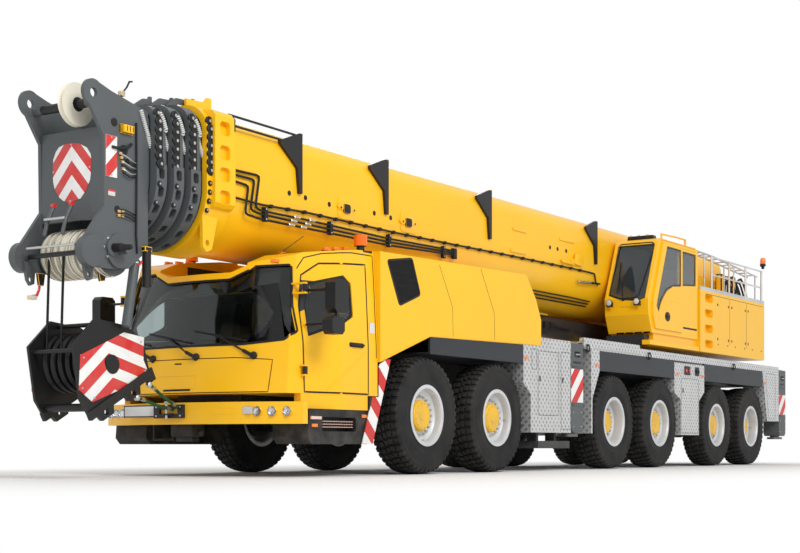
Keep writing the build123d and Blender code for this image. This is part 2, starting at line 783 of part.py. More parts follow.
def front_bumper():
    """Curved bumper with three round lamps a side and the towing jaw's box in the middle."""
    end = CAB_HALF_W
    corner = CAB_HALF_W - 95
    back = 6300
    face = 6430
    low = BUMPER_BOTTOM
    rear_nose = BUMPER_NOSE - BUMPER_DEPTH
    outline = Wire([
        Edge.make_line((back, end, low), (face - 50, end, low)),
        Edge.make_line((face - 50, end, low), (face, corner, low)),
        Edge.make_three_point_arc((face, corner, low), (BUMPER_NOSE, 0, low), (face, -corner, low)),
        Edge.make_line((face, -corner, low), (face - 50, -end, low)),
        Edge.make_line((face - 50, -end, low), (back, -end, low)),
        Edge.make_line((back, -end, low), (back, 185 - end, low)),
        Edge.make_three_point_arc((back, 185 - end, low), (rear_nose, 0, low), (back, end - 185, low)),
        Edge.make_line((back, end - 185, low), (back, end, low)),
    ])
    bar = Part() + Solid.extrude(Face(outline), Vector(0, 0, BUMPER_TOP - low))
    for y in (950, 1100, 1250):
        x = BUMPER_NOSE - (BUMPER_NOSE - face) * (y / corner) ** 2
        bar += both_sides(rod((x - 60, y, 690), (x + 14, y, 690), 52))
    bar += block((FRAME_FRONT, 6640), (-400, 400), (600, 760))
    jaw = block((BUMPER_NOSE - 60, BUMPER_NOSE + 35), (-330, 90), (625, 770))
    jaw -= block((BUMPER_NOSE - 5, BUMPER_NOSE + 40), (-250, 10), (670, 725))
    return bar + jaw


# Superstructure

def side_plate():
    """Plate that carries the boom foot, with its pivot eye."""
    px, pz = PIVOT
    outline = [
        (PLATE_FRONT, HOUSE_BOTTOM),
        (HOUSE_REAR + 20, HOUSE_BOTTOM),
        (px - 260, pz),
        (px - 180, pz + 190),
        (px + 180, pz + 190),
        (px + 300, pz - 60),
        (-5200, 2360),
        (PLATE_FRONT, 2120),
    ]
    plate = prism(outline, "y", PLATE_INNER, PLATE_INNER + PLATE_T)
    plate += cross_pin(PIVOT, PLATE_INNER, PLATE_INNER + PLATE_T, 220)
    return plate - cross_pin(PIVOT, PLATE_INNER - 1, PLATE_INNER + PLATE_T + 1, PIVOT_PIN_R + PIN_FIT)


def turntable():
    outer = PLATE_INNER + PLATE_T
    base = block((HOUSE_REAR + 20, PLATE_FRONT), (-outer, outer), (HOUSE_BOTTOM, BASE_TOP))
    base += rod((SLEW_X, 0, PEDESTAL_TOP + SEAT), (SLEW_X, 0, HOUSE_BOTTOM), PEDESTAL_R - 60)
    base += both_sides(side_plate())
    fx, fz = FOOT
    ear = [(fx - 180, BASE_TOP - 10), (fx - 140, fz + 120), (fx + 140, fz + 120), (fx + 180, BASE_TOP - 10)]
    inner = EYE_W / 2 + 8
    base += both_sides(prism(ear, "y", inner, inner + 60))
    base += cross_pin(FOOT, -inner, inner, PIN_R)
    return base + winch_drum()


def winch_drum():
    """Hoist drum with its flanges, between the side plates below the boom foot."""
    end = PLATE_INNER - 105
    outline = [
        (0, -PLATE_INNER),
        (70, -PLATE_INNER),
        (70, -end - 20),
        (WINCH_R + 35, -end - 20),
        (WINCH_R + 35, -end),
        (WINCH_R, -end),
    ]
    whole = outline + [(r, -y) for r, y in reversed(outline)]
    return Pos(WINCH[0], 0, WINCH[1]) * turned(whole)


def crane_house():
    """Boxes beside the boom foot, with the walkway rails on top and the step under the crane cab."""
    inner = PLATE_INNER + PLATE_T
    left = block((HOUSE_REAR, HOUSE_FRONT), (inner, HALF_WIDTH), (HOUSE_BOTTOM, HOUSE_TOP))
    right = block((HOUSE_REAR, -2950), (-HALF_WIDTH, -inner), (HOUSE_BOTTOM, HOUSE_TOP))
    for level in FOOT_HOLES:
        hole = soft_box(HOUSE_FRONT - 380, level, 340, 130, 25)
        left -= prism(hole, "y", HALF_WIDTH - 90, HALF_WIDTH + 1)
    left += walkway_rail()
    right += mirrored(walkway_rail())
    under_cab = block((HOUSE_FRONT, -2600), (inner, HALF_WIDTH - 60), (HOUSE_BOTTOM, CRANE_CAB_BOTTOM))
    step = block((HOUSE_FRONT + 60, -2340), (HALF_WIDTH - 130, HALF_WIDTH), (HOUSE_BOTTOM, HOUSE_BOTTOM + 70))
    front_sill = block((-2600, -2420), (inner, HALF_WIDTH - 130), (HOUSE_BOTTOM, CRANE_CAB_BOTTOM - 30))
    return apart([left, under_cab + step + front_sill, right])


def walkway_rail():
    """Kick strip and handrail along the outer edge of the house's roof."""
    y = HALF_WIDTH - RAIL_R - 2
    top = HOUSE_TOP + RAIL_TOP
    rail = block((HOUSE_REAR, HOUSE_FRONT), (HALF_WIDTH - 20, HALF_WIDTH), (HOUSE_TOP, HOUSE_TOP + 60))
    for x in RAIL_POSTS:
        rail += rod((x, y, HOUSE_TOP), (x, y, top + RAIL_R), RAIL_R)
    for level in (HOUSE_TOP + RAIL_TOP / 2, top):
        rail += rod((RAIL_POSTS[-1], y, level), (RAIL_POSTS[0], y, level), RAIL_R - 4)
    return rail


def cab_level(drawn):
    """Height of a point that is drawn at so much over the crane cab's floor."""
    return CRANE_CAB_BOTTOM + drawn * (CRANE_CAB_TOP - CRANE_CAB_BOTTOM) / CRANE_CAB_DRAWN_H


def on_cab(outline):
    return [(along, cab_level(drawn)) for along, drawn in outline]


def crane_cab_outline(inset):
    top = CRANE_CAB_TOP
    return [
        (CRANE_CAB_REAR + inset, CRANE_CAB_BOTTOM + inset),
        (CRANE_CAB_REAR + inset, top - 30 - inset),
        (CRANE_CAB_REAR + 140, top - inset),
        (CRANE_CAB_NOSE - 480 - inset * 0.3, top - inset),
        (CRANE_CAB_NOSE - 400 - inset, top - 60 - inset),
        (CRANE_CAB_NOSE - inset, cab_level(520)),
        (CRANE_CAB_NOSE - 20 - inset, cab_level(270)),
        (CRANE_CAB_NOSE - 150 - inset, CRANE_CAB_BOTTOM + inset),
    ]


SLIDE_DOOR = on_cab((
    (-3620, 70),
    (-3620, 1420),
    (CRANE_CAB_NOSE - 530, 1420),
    (CRANE_CAB_NOSE - 140, 480),
    (CRANE_CAB_NOSE - 150, 250),
    (CRANE_CAB_NOSE - 240, 70),
))
# The window's lower edge follows an arc from the rear edge down to the front tip
SLIDE_WINDOW = on_cab((
    (-3575, 800),
    (-3575, 1385),
    (CRANE_CAB_NOSE - 680, 1385),
    (CRANE_CAB_NOSE - 260, 420),
    (CRANE_CAB_NOSE - 350, 320),
    (CRANE_CAB_NOSE - 430, 455),
    (CRANE_CAB_NOSE - 550, 585),
    (CRANE_CAB_NOSE - 710, 695),
    (CRANE_CAB_NOSE - 910, 770),
))
SIDE_WINDOW = on_cab(((-4270, 870), (-4270, 1385), (-3700, 1385), (-3700, 825)))
FRONT_SCREEN = on_cab((
    (CRANE_CAB_INNER + 50, 590),
    (CRANE_CAB_INNER + 50, 1400),
    (HALF_WIDTH - 80, 1400),
    (HALF_WIDTH - 80, 520),
    (HALF_WIDTH - 220, 480),
    (CRANE_CAB_INNER + 250, 510),
))
WORK_LAMPS = (CRANE_CAB_INNER + 105, HALF_WIDTH - 190)


def crane_cab_form(inset):
    side = HALF_WIDTH - SLIDE_DOOR_T
    return prism(crane_cab_outline(inset), "y", CRANE_CAB_INNER + inset, side - inset)


def make_crane_cab():
    outer = crane_cab_form(0)
    shell = outer - crane_cab_form(CRANE_CAB_WALL)
    mid = CRANE_CAB_WALL / 2
    skin = crane_cab_form(mid - CAB_GLASS_T / 2) - crane_cab_form(mid + CAB_GLASS_T / 2)
    side = HALF_WIDTH - SLIDE_DOOR_T
    front = (CRANE_CAB_NOSE - 620, CRANE_CAB_NOSE + 130)
    shell -= prism(drawn_in(SLIDE_DOOR, 50), "y", side - 100, side + 1)
    shell -= prism(SIDE_WINDOW, "y", side - 100, side + 1)
    shell -= prism(FRONT_SCREEN, "x", *front)
    glass = [
        skin & prism(drawn_in(SIDE_WINDOW, SEAT), "y", side - 100, side + 1),
        skin & prism(drawn_in(FRONT_SCREEN, SEAT), "x", *front),
    ]
    floor = CRANE_CAB_BOTTOM + CRANE_CAB_WALL
    shell += seat(-3450, (CRANE_CAB_INNER + side) / 2, floor)
    rail_front, door_top = SLIDE_DOOR[2]
    shell += block((CRANE_CAB_REAR + 100, rail_front), (side - 1, side + 9), (door_top + 8, door_top + 40))
    nose = CRANE_CAB_NOSE
    lamp_z = cab_level(410)
    for y in WORK_LAMPS:
        shell += block((nose - 70, nose + 30), (y - 12, y + 12), (lamp_z - 40, lamp_z + 10))
        shell += block((nose - 10, nose + 70), (y - 45, y + 45), (lamp_z, lamp_z + 70))
    grille = soft_box((CRANE_CAB_INNER + side) / 2 - 30, cab_level(370), 190, 70, 12)
    shell -= prism(grille, "x", nose - 20, nose + 30)
    lamp_bar = [(CRANE_CAB_INNER + 150, CRANE_CAB_TOP - 1), (HALF_WIDTH - 150, CRANE_CAB_TOP - 1),
                (HALF_WIDTH - 170, CRANE_CAB_TOP + 65), (CRANE_CAB_INNER + 170, CRANE_CAB_TOP + 65)]
    shell += prism(lamp_bar, "x", nose - 620, nose - 500)
    keep("crane_cab", shell)
    keep("crane_cab_glass", apart(glass))
    panel = prism(SLIDE_DOOR, "y", side + SEAT, side + SLIDE_DOOR_T)
    keep("crane_cab_door", panel - prism(SLIDE_WINDOW, "y", side, side + 60))
    pane_y = side + SLIDE_DOOR_T / 2
    pane = prism(drawn_in(SLIDE_WINDOW, SEAT), "y", pane_y - CAB_GLASS_T / 2, pane_y + CAB_GLASS_T / 2)
    keep("crane_cab_door_glass", pane)


# Boom

def boom_wire(inset, x):
    """Boom section across X: round belly, upright sides and rounded upper corners."""
    half_w = BOOM_HALF_W - inset
    top = BOOM_TOP - inset
    radius = BOOM_CORNER_R - inset
    flat = half_w - radius
    shoulder = top - radius
    side = flat + radius * math.cos(math.pi / 4)
    crown = shoulder + radius * math.sin(math.pi / 4)
    left = (x, half_w, BOOM_CENTRE_Z)
    right = (x, -half_w, BOOM_CENTRE_Z)
    return Wire([
        Edge.make_three_point_arc(left, (x, 0, BOOM_CENTRE_Z - half_w), right),
        Edge.make_line(right, (x, -half_w, shoulder)),
        Edge.make_three_point_arc((x, -half_w, shoulder), (x, -side, crown), (x, -flat, top)),
        Edge.make_line((x, -flat, top), (x, flat, top)),
        Edge.make_three_point_arc((x, flat, top), (x, side, crown), (x, half_w, shoulder)),
        Edge.make_line((x, half_w, shoulder), left),
    ])


def boom_bar(inset, x_low, x_high):
    """Solid boom profile, drawn in by an inset on every side."""
    return Part() + Solid.extrude(Face(boom_wire(inset, x_low)), Vector(x_high - x_low, 0, 0))


def band_windows(inset, x):
    """The row of windows round the lower half of a collar, cut as far as the tube's wall."""
    outer = BOOM_HALF_W - inset + COLLAR_RISE
    windows = []
    for angle in BAND_WINDOW_ANGLES:
        pocket = prism(soft_box(x, 0, 80, 105, 18), "y", outer - COLLAR_RISE + 6, outer + 20)
        windows.append(Pos(0, 0, BOOM_CENTRE_Z) * Rot(-angle, 0, 0) * pocket)
    return windows


def section_collar(index):
    """Collar of an inner section: plain above, with a thicker band of windows round the belly."""
    inset = index * BOOM_STEP
    front = COLLAR_FRONT[index]
    rear = front - COLLAR_LENGTH[index]
    ring = boom_bar(inset - COLLAR_RISE + COLLAR_STEP, rear, front)
    lower = block((rear - 1, front + 1), (-BOOM_HALF_W * 2, BOOM_HALF_W * 2), (0, BOOM_CENTRE_Z + 150))
    ring += boom_bar(inset - COLLAR_RISE, rear, front) & lower
    for window in band_windows(inset, (rear + front) / 2):
        ring = ring - window - mirrored(window)
    return ring + both_sides(collar_fin(index))


def collar_fin(index):
    """Guide fin on top of a collar; it reaches back over the collar behind and ends in a hook."""
    top = BOOM_TOP - index * BOOM_STEP
    front = COLLAR_FRONT[index]
    rear = front - COLLAR_LENGTH[index]
    hook = front - 430 + 75 * (index - 1)
    over = top + COLLAR_RISE - COLLAR_STEP + BOOM_STEP + 15
    y = 330 - 35 * index
    outline = [
        (front, top + 40),
        (front, top + 60),
        (rear, over + 55),
        (hook + 50, over + 65),
        (hook + 35, top + 200),
        (hook, top + 200),
        (hook, over),
        (rear - 20, over),
        (rear + 5, top + 40),
    ]
    return prism(outline, "y", y - 25, y)


def base_collar():
    """Collar of the base section, with an upright box and four windows on either side."""
    front = COLLAR_FRONT[0]
    rear = front - COLLAR_LENGTH[0]
    ring = boom_bar(COLLAR_STEP - COLLAR_RISE, rear, front)
    out = BASE_COLLAR_HALF_W
    cheek = [
        (BOOM_HALF_W - 20, 2760),
        (out - 40, 2790),
        (out, 2830),
        (out, 3730),
        (out - 40, 3780),
        (BOOM_HALF_W - 100, 3800),
        (BOOM_HALF_W - 100, 3700),
        (BOOM_HALF_W - 20, 3500),
    ]
    box = prism(cheek, "x", rear, front - 70)
    for level in BASE_WINDOWS:
        box -= prism(soft_box(rear + 165, level, 160, 145, 28), "y", out - 70, out + 1)
    hook_lug = [(6780, 2740), (6850, 2470), (6880, 2360), (6960, 2325), (7020, 2370), (front, 2740)]
    lug = prism(hook_lug, "y", 545, 585) - cross_pin((6950, 2420), 500, 620, 32)
    fin = [(rear, 3800), (rear, 3990), (rear + 60, 3990), (rear + 110, 3930), (front, 3920), (front, 3800)]
    return ring + both_sides(box + lug + prism(fin, "y", 340, 370))


def boom_tube(index):
    """Tube of one boom section, from the base section, 0, to the innermost, 4."""
    inset = index * BOOM_STEP
    rear = BOOM_REAR + 250 + index * 60 if index else BOOM_REAR
    front = COLLAR_FRONT[index] if index < len(COLLAR_FRONT) else HEAD_REAR + 40
    tube = boom_bar(inset, rear, front)
    if index == 0:
        tube += base_collar()
    elif index < len(COLLAR_FRONT):
        tube += section_collar(index)
    tube -= boom_bar(inset + BOOM_WALL, rear - 1, front + 1)
    if index < len(COLLAR_FRONT):
        gap = BOOM_STEP - BOOM_WALL - SEAT
        floor = BOOM_BOTTOM + inset + BOOM_WALL
        tube += block((front - 400, front), (-120, 120), (floor - 8, floor + gap))
    return tube


def side_bracket(x):
    """Upright with a gusset on the boom's side, for the stowed extension."""
    outline = [
        (x - 25, 3140),
        (x - 25, 3810),
        (x + 25, 3810),
        (x + 370, 3680),
        (x + 370, 3640),
        (x + 60, 3420),
        (x + 25, 3140),
    ]
    return prism(outline, "y", BOOM_HALF_W - 6, BOOM_HALF_W + 40)


def side_pad(x):
    """Oval boss on the boom's side."""
    outline = soft_box(x, 3110, 130, 70, 30)
    return prism(outline, "y", BOOM_HALF_W - 4, BOOM_HALF_W + 22)


def lift_lug():
    """Two plates under the base section that the lift cylinder's eye sits between."""
    ex, ez = EYE
    root = BOOM_BOTTOM + 25
    outline = [(ex - 220, root), (ex - 130, ez - 130), (ex + 130, ez - 130), (ex + 220, root)]
    plate = prism(outline, "y", LUG_GAP / 2, LUG_GAP / 2 + 50)
    return both_sides(plate)


def boom_base():
    tube = boom_tube(0)
    pin_out = PLATE_INNER + PLATE_T
    tube += both_sides(cross_pin(PIVOT, BOOM_HALF_W - BOOM_WALL, pin_out, PIVOT_PIN_R))
    fittings = [side_bracket(x) for x in BRACKET_X] + [side_pad(x) for x in PAD_X]
    stay_y = BOOM_HALF_W + 25
    collar_rear = COLLAR_FRONT[0] - COLLAR_LENGTH[0]
    for level in (3680, 3780):
        fittings.append(rod((BRACKET_X[0], stay_y, level), (collar_rear + 20, stay_y, level + 10), 13))
    for fitting in fittings:
        tube += both_sides(fitting)
    return tube + lift_lug()


def head_plate():
    nx, nz = NOSE
    tx, tz = TOP_LUG
    outer = HEAD_HALF_W
    inner = HEAD_HALF_W - HEAD_PLATE_T
    outline = [
        (HEAD_REAR, 2270),
        (HEAD_REAR, 3640),
        (tx - 230, tz + 60),
        (tx, tz + LUG_R),
        (tx + LUG_R, tz),
        (8300, 3310),
        (8290, 2640),
        (nx + 60, nz + NOSE_R - 15),
        (nx + 40, nz - NOSE_R + 10),
        (8200, 2035),
        (7960, 2060),
    ]
    plate = prism(outline, "y", inner, outer)
    plate += cross_pin(TOP_LUG, inner, outer, LUG_R)
    plate += cross_pin(NOSE, inner, outer + 50, NOSE_R)
    plate += cross_pin(LOWER_SHEAVE, inner, outer + 25, 165)
    plate += cross_pin(LOWER_SHEAVE, outer, outer + 140, 38)
    dead_end = [(8390, 2130), (8540, 2130), (8500, 1950), (8460, 1900), (8410, 1920)]
    plate += prism(dead_end, "y", inner - 30, inner + 5)
    plate -= cross_pin((8456, 1960), inner - 40, inner + 20, 26)
    return plate - cross_pin(TOP_LUG, inner - 50, outer + 50, LUG_HOLE_R)


def sheave(centre, y, radius, width):
    """Grooved rope wheel."""
    half = width / 2
    outline = [(0, -half), (radius, -half), (radius - GROOVE, 0), (radius, half), (0, half)]
    return Pos(centre[0], y, centre[1]) * turned(outline)


def boom_head_section():
    tube = boom_tube(4)
    head = both_sides(head_plate())
    inner = HEAD_HALF_W - 1
    head += block((8250, 8290), (-inner, inner), (2520, 3400))
    head += block((HEAD_REAR, HEAD_REAR + 60), (-inner, inner), (2430, 3620))
    head += cross_pin(LOWER_SHEAVE, -HEAD_HALF_W, HEAD_HALF_W, 60)
    head += cross_pin(NOSE, -HEAD_HALF_W, HEAD_HALF_W, NOSE_SHAFT_R)
    head += cross_pin(TOP_SHEAVE, -HEAD_HALF_W, HEAD_HALF_W, 45)
    for number in range(8):
        head += sheave(LOWER_SHEAVE, -350 + number * 100, SHEAVE_R, SHEAVE_W)
    head += sheave(TOP_SHEAVE, 150, SHEAVE_R - 25, SHEAVE_W)
    return tube + head


def make_boom():
    keep("boom_base", boom_base())
    for index in (1, 2, 3):
        keep(f"boom_section_{index + 1}", boom_tube(index))
    keep("boom_head_section", boom_head_section())


RAIL_START = (7520, 1050)
RAIL_END = (8350, 600)
# The holed rail under each cheek: distance along its edge and distance below it
RAIL_OUTLINE = (
    (-40, -60),
    (-40, 70),
    (60, 70),
    (90, 30),
    (200, 30),
    (230, 100),
    (400, 100),
    (430, 30),
    (620, 30),
    (650, 100),
    (820, 100),
    (850, 30),
    (950, 30),
    (950, -60),
)
RAIL_HOLES = (315, 735)
# Cross bars between the cheeks: place and radius
BLOCK_BARS = (((8330, 700), 40), ((7700, 1300), 40), ((8500, 1240), 22), ((8180, 1510), 22))


def cheek_rail():
    """Rail with two holed feet along the lower edge of a cheek plate."""
    length = math.dist(RAIL_START, RAIL_END)
    dx = (RAIL_END[0] - RAIL_START[0]) / length
    dz = (RAIL_END[1] - RAIL_START[1]) / length

    def at(along, below):
        return (RAIL_START[0] + dx * along + dz * below, RAIL_START[1] + dz * along - dx * below)

    rail = prism([at(*point) for point in RAIL_OUTLINE], "y", BLOCK_HALF_W - CHEEK_T, BLOCK_HALF_W + 20)
    for along in RAIL_HOLES:
        rail -= cross_pin(at(along, 45), BLOCK_HALF_W - 60, BLOCK_HALF_W + 60, 32)
    return rail


def hook_block():
    """Hook block slung below the nose: cheek plates, rope wheels and the ropes up to the head."""
    cheek = [(8280, 1560), (7870, 1520), (7620, 1390), RAIL_START, RAIL_END, (8480, 770), (8570, 1290)]
    inner = BLOCK_HALF_W - CHEEK_T
    body = both_sides(prism(cheek, "y", inner, BLOCK_HALF_W) + cheek_rail())
    body += cross_pin(BLOCK_CENTRE, -BLOCK_HALF_W - 20, BLOCK_HALF_W + 20, 70)
    for number in range(6):
        body += sheave(BLOCK_CENTRE, -250 + number * 100, BLOCK_SHEAVE_R, SHEAVE_W)
    for centre, radius in BLOCK_BARS:
        body += cross_pin(centre, -BLOCK_HALF_W, BLOCK_HALF_W, radius)
    groove_slope = math.atan(GROOVE / (SHEAVE_W / 2))
    reach = SHEAVE_R - GROOVE + (ROPE_R + SEAT) / math.cos(groove_slope)
    block_reach = BLOCK_SHEAVE_R - GROOVE + ROPE_R
    for y in ROPE_Y:
        top = (LOWER_SHEAVE[0] + reach + SEAT, y, LOWER_SHEAVE[1])
        foot = (BLOCK_CENTRE[0] + block_reach, y, BLOCK_CENTRE[1])
        body += rod(top, foot, ROPE_R)
    return body


# Lift cylinder

def make_lift_cylinder():
    foot = Vector(FOOT[0], 0, FOOT[1])
    eye = Vector(EYE[0], 0, EYE[1])
    along = (eye - foot).normalized()
    gland = eye - along * (EYE_R + 130)
    barrel = rod(foot, gland, BARREL_R)
    barrel += rod(gland - along * 140, gland, BARREL_R + 12)
    barrel -= block((FOOT[0] - 400, FOOT[0] + 215), (-400, 400), (1800, 2600))
    barrel += cross_pin(FOOT, -EYE_W / 2, EYE_W / 2, EYE_R)
    barrel += rod(foot + along * 100, foot + along * 250, EYE_W / 2)
    barrel -= cross_pin(FOOT, -EYE_W, EYE_W, PIN_R + PIN_FIT)
    barrel -= rod(foot + along * 400, gland + along * 10, ROD_R + PIN_FIT)
    keep("lift_cylinder_barrel", barrel)
    piston = rod(foot + along * 410, eye, ROD_R)
    piston += cross_pin(EYE, -EYE_W / 2, EYE_W / 2, EYE_R)
    piston -= cross_pin(EYE, -EYE_W, EYE_W, PIN_R)
    keep("lift_cylinder_rod", piston)


def main():
    make_running_gear()
    keep("chassis_frame", chassis_frame())
    make_outriggers()
    keep("deck_and_lockers", deck_and_lockers())
    keep("mudguards_and_steps", mudguards_and_steps())
    keep("engine_hood", engine_hood())
    keep("engine_block", engine_block())
    make_driver_cab()
    keep("cab_interior", cab_interior())
    keep("front_bumper", front_bumper())
    keep("turntable", turntable())
    keep("crane_house", crane_house())
    make_crane_cab()
    make_boom()
    keep("hook_block", hook_block())
    make_lift_cylinder()
    os.makedirs("parts", exist_ok=True)
    for name, shape in NODES.items():
        export_step(shape, f"parts/{name}.step")
        print(name, len(shape.solids()), round(shape.volume / 1e6, 1))


main()
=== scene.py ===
# %% [markdown]
# A mobile crane is a lorry that carries a turning upper part with a telescopic boom. Its solid
# parts come from CAD at their true size and place, so this lesson never builds them again. It
# gives them paint, rubber and glass, and adds what a welder, an electrician and a sign painter add
# to the real machine. The empty default scene goes first, because whatever stays in it would be
# measured as part of the crane.

# %% Load the crane's CAD parts
import json
import math
import bmesh
import bpy
from mathutils import Matrix, Vector
from mathutils.bvhtree import BVHTree

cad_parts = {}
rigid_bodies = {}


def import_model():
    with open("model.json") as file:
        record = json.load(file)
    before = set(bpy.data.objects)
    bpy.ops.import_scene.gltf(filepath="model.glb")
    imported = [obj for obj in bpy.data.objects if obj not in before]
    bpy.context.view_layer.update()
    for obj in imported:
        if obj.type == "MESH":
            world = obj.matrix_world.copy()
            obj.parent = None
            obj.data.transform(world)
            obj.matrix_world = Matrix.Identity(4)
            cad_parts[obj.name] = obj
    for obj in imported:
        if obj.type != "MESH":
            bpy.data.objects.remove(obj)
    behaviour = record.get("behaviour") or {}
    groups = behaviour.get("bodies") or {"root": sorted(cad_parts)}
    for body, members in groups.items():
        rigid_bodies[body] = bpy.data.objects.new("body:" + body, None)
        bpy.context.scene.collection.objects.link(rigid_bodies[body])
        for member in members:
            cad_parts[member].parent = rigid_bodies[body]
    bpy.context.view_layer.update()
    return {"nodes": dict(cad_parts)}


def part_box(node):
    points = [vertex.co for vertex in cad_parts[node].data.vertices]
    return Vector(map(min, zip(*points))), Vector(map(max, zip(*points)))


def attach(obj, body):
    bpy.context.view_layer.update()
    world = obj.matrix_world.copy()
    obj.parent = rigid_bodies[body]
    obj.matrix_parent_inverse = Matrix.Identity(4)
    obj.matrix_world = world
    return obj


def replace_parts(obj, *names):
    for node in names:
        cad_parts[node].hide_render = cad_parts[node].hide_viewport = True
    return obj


for leftover in list(bpy.data.objects):
    bpy.data.objects.remove(leftover)
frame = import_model()

# %% [markdown]
# The photographer stood on the ground ahead of the crane's left front corner and kept the camera
# level, with the lens shifted upwards, as one does to keep upright edges upright. The eye is only
# a third of a metre above the ground, so the tyres hide nothing and the boom towers overhead. In
# Blender the same picture comes from a level camera with a vertical shift.

# %% Camera
CAMERA_PLACE = Vector((18.412, 10.499, 0.325))
LOOK = Vector((-0.8354, -0.5497, 0.0))

lens = bpy.data.cameras.new("site_camera")
lens.sensor_width = 36.0
lens.lens = 65.69
lens.shift_y = 0.2124
lens.clip_end = 200.0
camera = bpy.data.objects.new("site_camera", lens)
camera.location = CAMERA_PLACE
camera.rotation_euler = LOOK.to_track_quat("-Z", "Y").to_euler()
bpy.context.scene.collection.objects.link(camera)
bpy.context.scene.camera = camera
print("camera at", [round(v, 2) for v in camera.location])

# %% [markdown]
# Every finish below is a small network of nodes that makes its pattern from the point in space
# where a surface lies, in metres. Nothing is painted on and no picture is needed, so a pattern
# keeps its size on a bolt and on a boom. One helper adds a node, and another sets a value or plugs
# in whatever comes from an earlier node.

# %% Helper for finishes
def start_finish(name):
    made = bpy.data.materials.new(name)
    made.use_nodes = True
    made.node_tree.nodes.clear()
    return made, made.node_tree


def plug(tree, socket, value):
    if isinstance(value, bpy.types.NodeSocket):
        tree.links.new(value, socket)
    else:
        socket.default_value = value


def add(tree, kind, values=None, **settings):
    made = tree.nodes.new("ShaderNode" + kind)
    for key, value in settings.items():
        setattr(made, key, value)
    for socket, value in (values or {}).items():
        plug(tree, made.inputs[socket], value)
    return made


def maths(tree, operation, *numbers):
    return add(tree, "Math", dict(enumerate(numbers)), operation=operation).outputs[0]


def blend_colour(tree, share, first, second):
    values = {0: share, 6: first, 7: second}
    return add(tree, "Mix", values, data_type="RGBA").outputs[2]


def blend_number(tree, share, first, second):
    return add(tree, "Mix", {0: share, 2: first, 3: second}).outputs[0]


def places(tree):
    return add(tree, "TexCoord").outputs["Object"]


def noise(tree, where, scale, detail=4.0):
    values = {"Vector": where, "Scale": scale, "Detail": detail}
    return add(tree, "TexNoise", values).outputs["Fac"]


def honeycomb(tree, where, scale):
    return add(tree, "TexVoronoi", {"Vector": where, "Scale": scale}).outputs["Distance"]


def between(tree, amount, low, high, new_low, new_high):
    """An amount between low and high, stretched to a new range."""
    values = dict(enumerate((amount, low, high, new_low, new_high)))
    return add(tree, "MapRange", values).outputs["Result"]


def shade(colour, factor):
    return tuple(min(1.0, part * factor) for part in colour[:3]) + (1.0,)


def dent(tree, height, strength, distance):
    values = {"Height": height, "Strength": strength, "Distance": distance}
    return add(tree, "Bump", values).outputs[0]


def surface(tree, values):
    shader = add(tree, "BsdfPrincipled", values)
    add(tree, "OutputMaterial", {"Surface": shader.outputs[0]})


print("finish helpers ready")

# %% [markdown]
# Catalogue pictures of machines are taken under a wide white sky and cut out on white, with only a
# soft shadow left under the wheels. Panels then show broad soft gradients. Here the camera sees a
# white world, while the crane is lit by a slightly weaker one, so nothing burns out. A large lamp
# from the front left gives the sides their direction, and a weaker one behind keeps edges readable.
# The floor is a matt surface near the crane that turns into plain white light further out, which
# hides the line where floor and background meet.

# %% Light and floor
scene = bpy.context.scene
scene.view_settings.view_transform = "Standard"
SKY_LEVEL = 0.80
FLOOR_HALF = 60
# Half the size of the matt floor round the crane, and where it fades to white beyond that
MATT_REACH = {"X": 8.0, "Y": 1.5}
FADE = (0.8, 5.0)


def soft_light(name, place, aim, size, power):
    lamp = bpy.data.lights.new(name, "AREA")
    lamp.shape = "SQUARE"
    lamp.size = size
    lamp.energy = power
    holder = bpy.data.objects.new(name, lamp)
    holder.location = place
    holder.rotation_euler = (Vector(aim) - Vector(place)).to_track_quat("-Z", "Y").to_euler()
    scene.collection.objects.link(holder)


def studio_world():
    made = bpy.data.worlds.new("studio_sky")
    made.use_nodes = True
    nodes, links = made.node_tree.nodes, made.node_tree.links
    background = nodes["Background"]
    background.inputs["Color"].default_value = (1.0, 1.0, 1.0, 1.0)
    ray = nodes.new("ShaderNodeLightPath")
    level = nodes.new("ShaderNodeMapRange")
    level.inputs["To Min"].default_value = SKY_LEVEL
    level.inputs["To Max"].default_value = 1.0
    links.new(ray.outputs["Is Camera Ray"], level.inputs["Value"])
    links.new(level.outputs["Result"], background.inputs["Strength"])
    return made


def studio_floor():
    made, tree = start_finish("studio_floor")
    where = add(tree, "SeparateXYZ", {"Vector": places(tree)}).outputs
    squares = []
    for axis, reach in MATT_REACH.items():
        beyond = maths(tree, "SUBTRACT", maths(tree, "ABSOLUTE", where[axis]), reach)
        squares.append(maths(tree, "POWER", maths(tree, "MAXIMUM", beyond, 0.0), 2.0))
    distance = maths(tree, "SQRT", maths(tree, "ADD", *squares))
    share = between(tree, distance, *FADE, 0.0, 1.0)
    share.node.interpolation_type = "SMOOTHSTEP"
    matt = add(tree, "BsdfDiffuse", {"Color": (0.80, 0.80, 0.80, 1.0)})
    white = add(tree, "Emission", {"Color": (1.0, 1.0, 1.0, 1.0), "Strength": 1.0})
    mixed = add(tree, "MixShader", {0: share, 1: matt.outputs[0], 2: white.outputs[0]})
    add(tree, "OutputMaterial", {"Surface": mixed.outputs[0]})
    return made


scene.world = studio_world()
soft_light("key_softbox", (14.0, 20.0, 15.0), (0.0, 0.0, 1.5), 9.0, 3400.0)
soft_light("rim_softbox", (-16.0, -14.0, 12.0), (0.0, 0.0, 2.0), 9.0, 1200.0)

floor_mesh = bpy.data.meshes.new("floor")
corners = [(x * FLOOR_HALF, y * FLOOR_HALF, 0) for x, y in ((-1, -1), (1, -1), (1, 1), (-1, 1))]
floor_mesh.from_pydata(corners, [], [(0, 1, 2, 3)])
floor_mesh.materials.append(studio_floor())
floor = bpy.data.objects.new("floor", floor_mesh)
scene.collection.objects.link(floor)

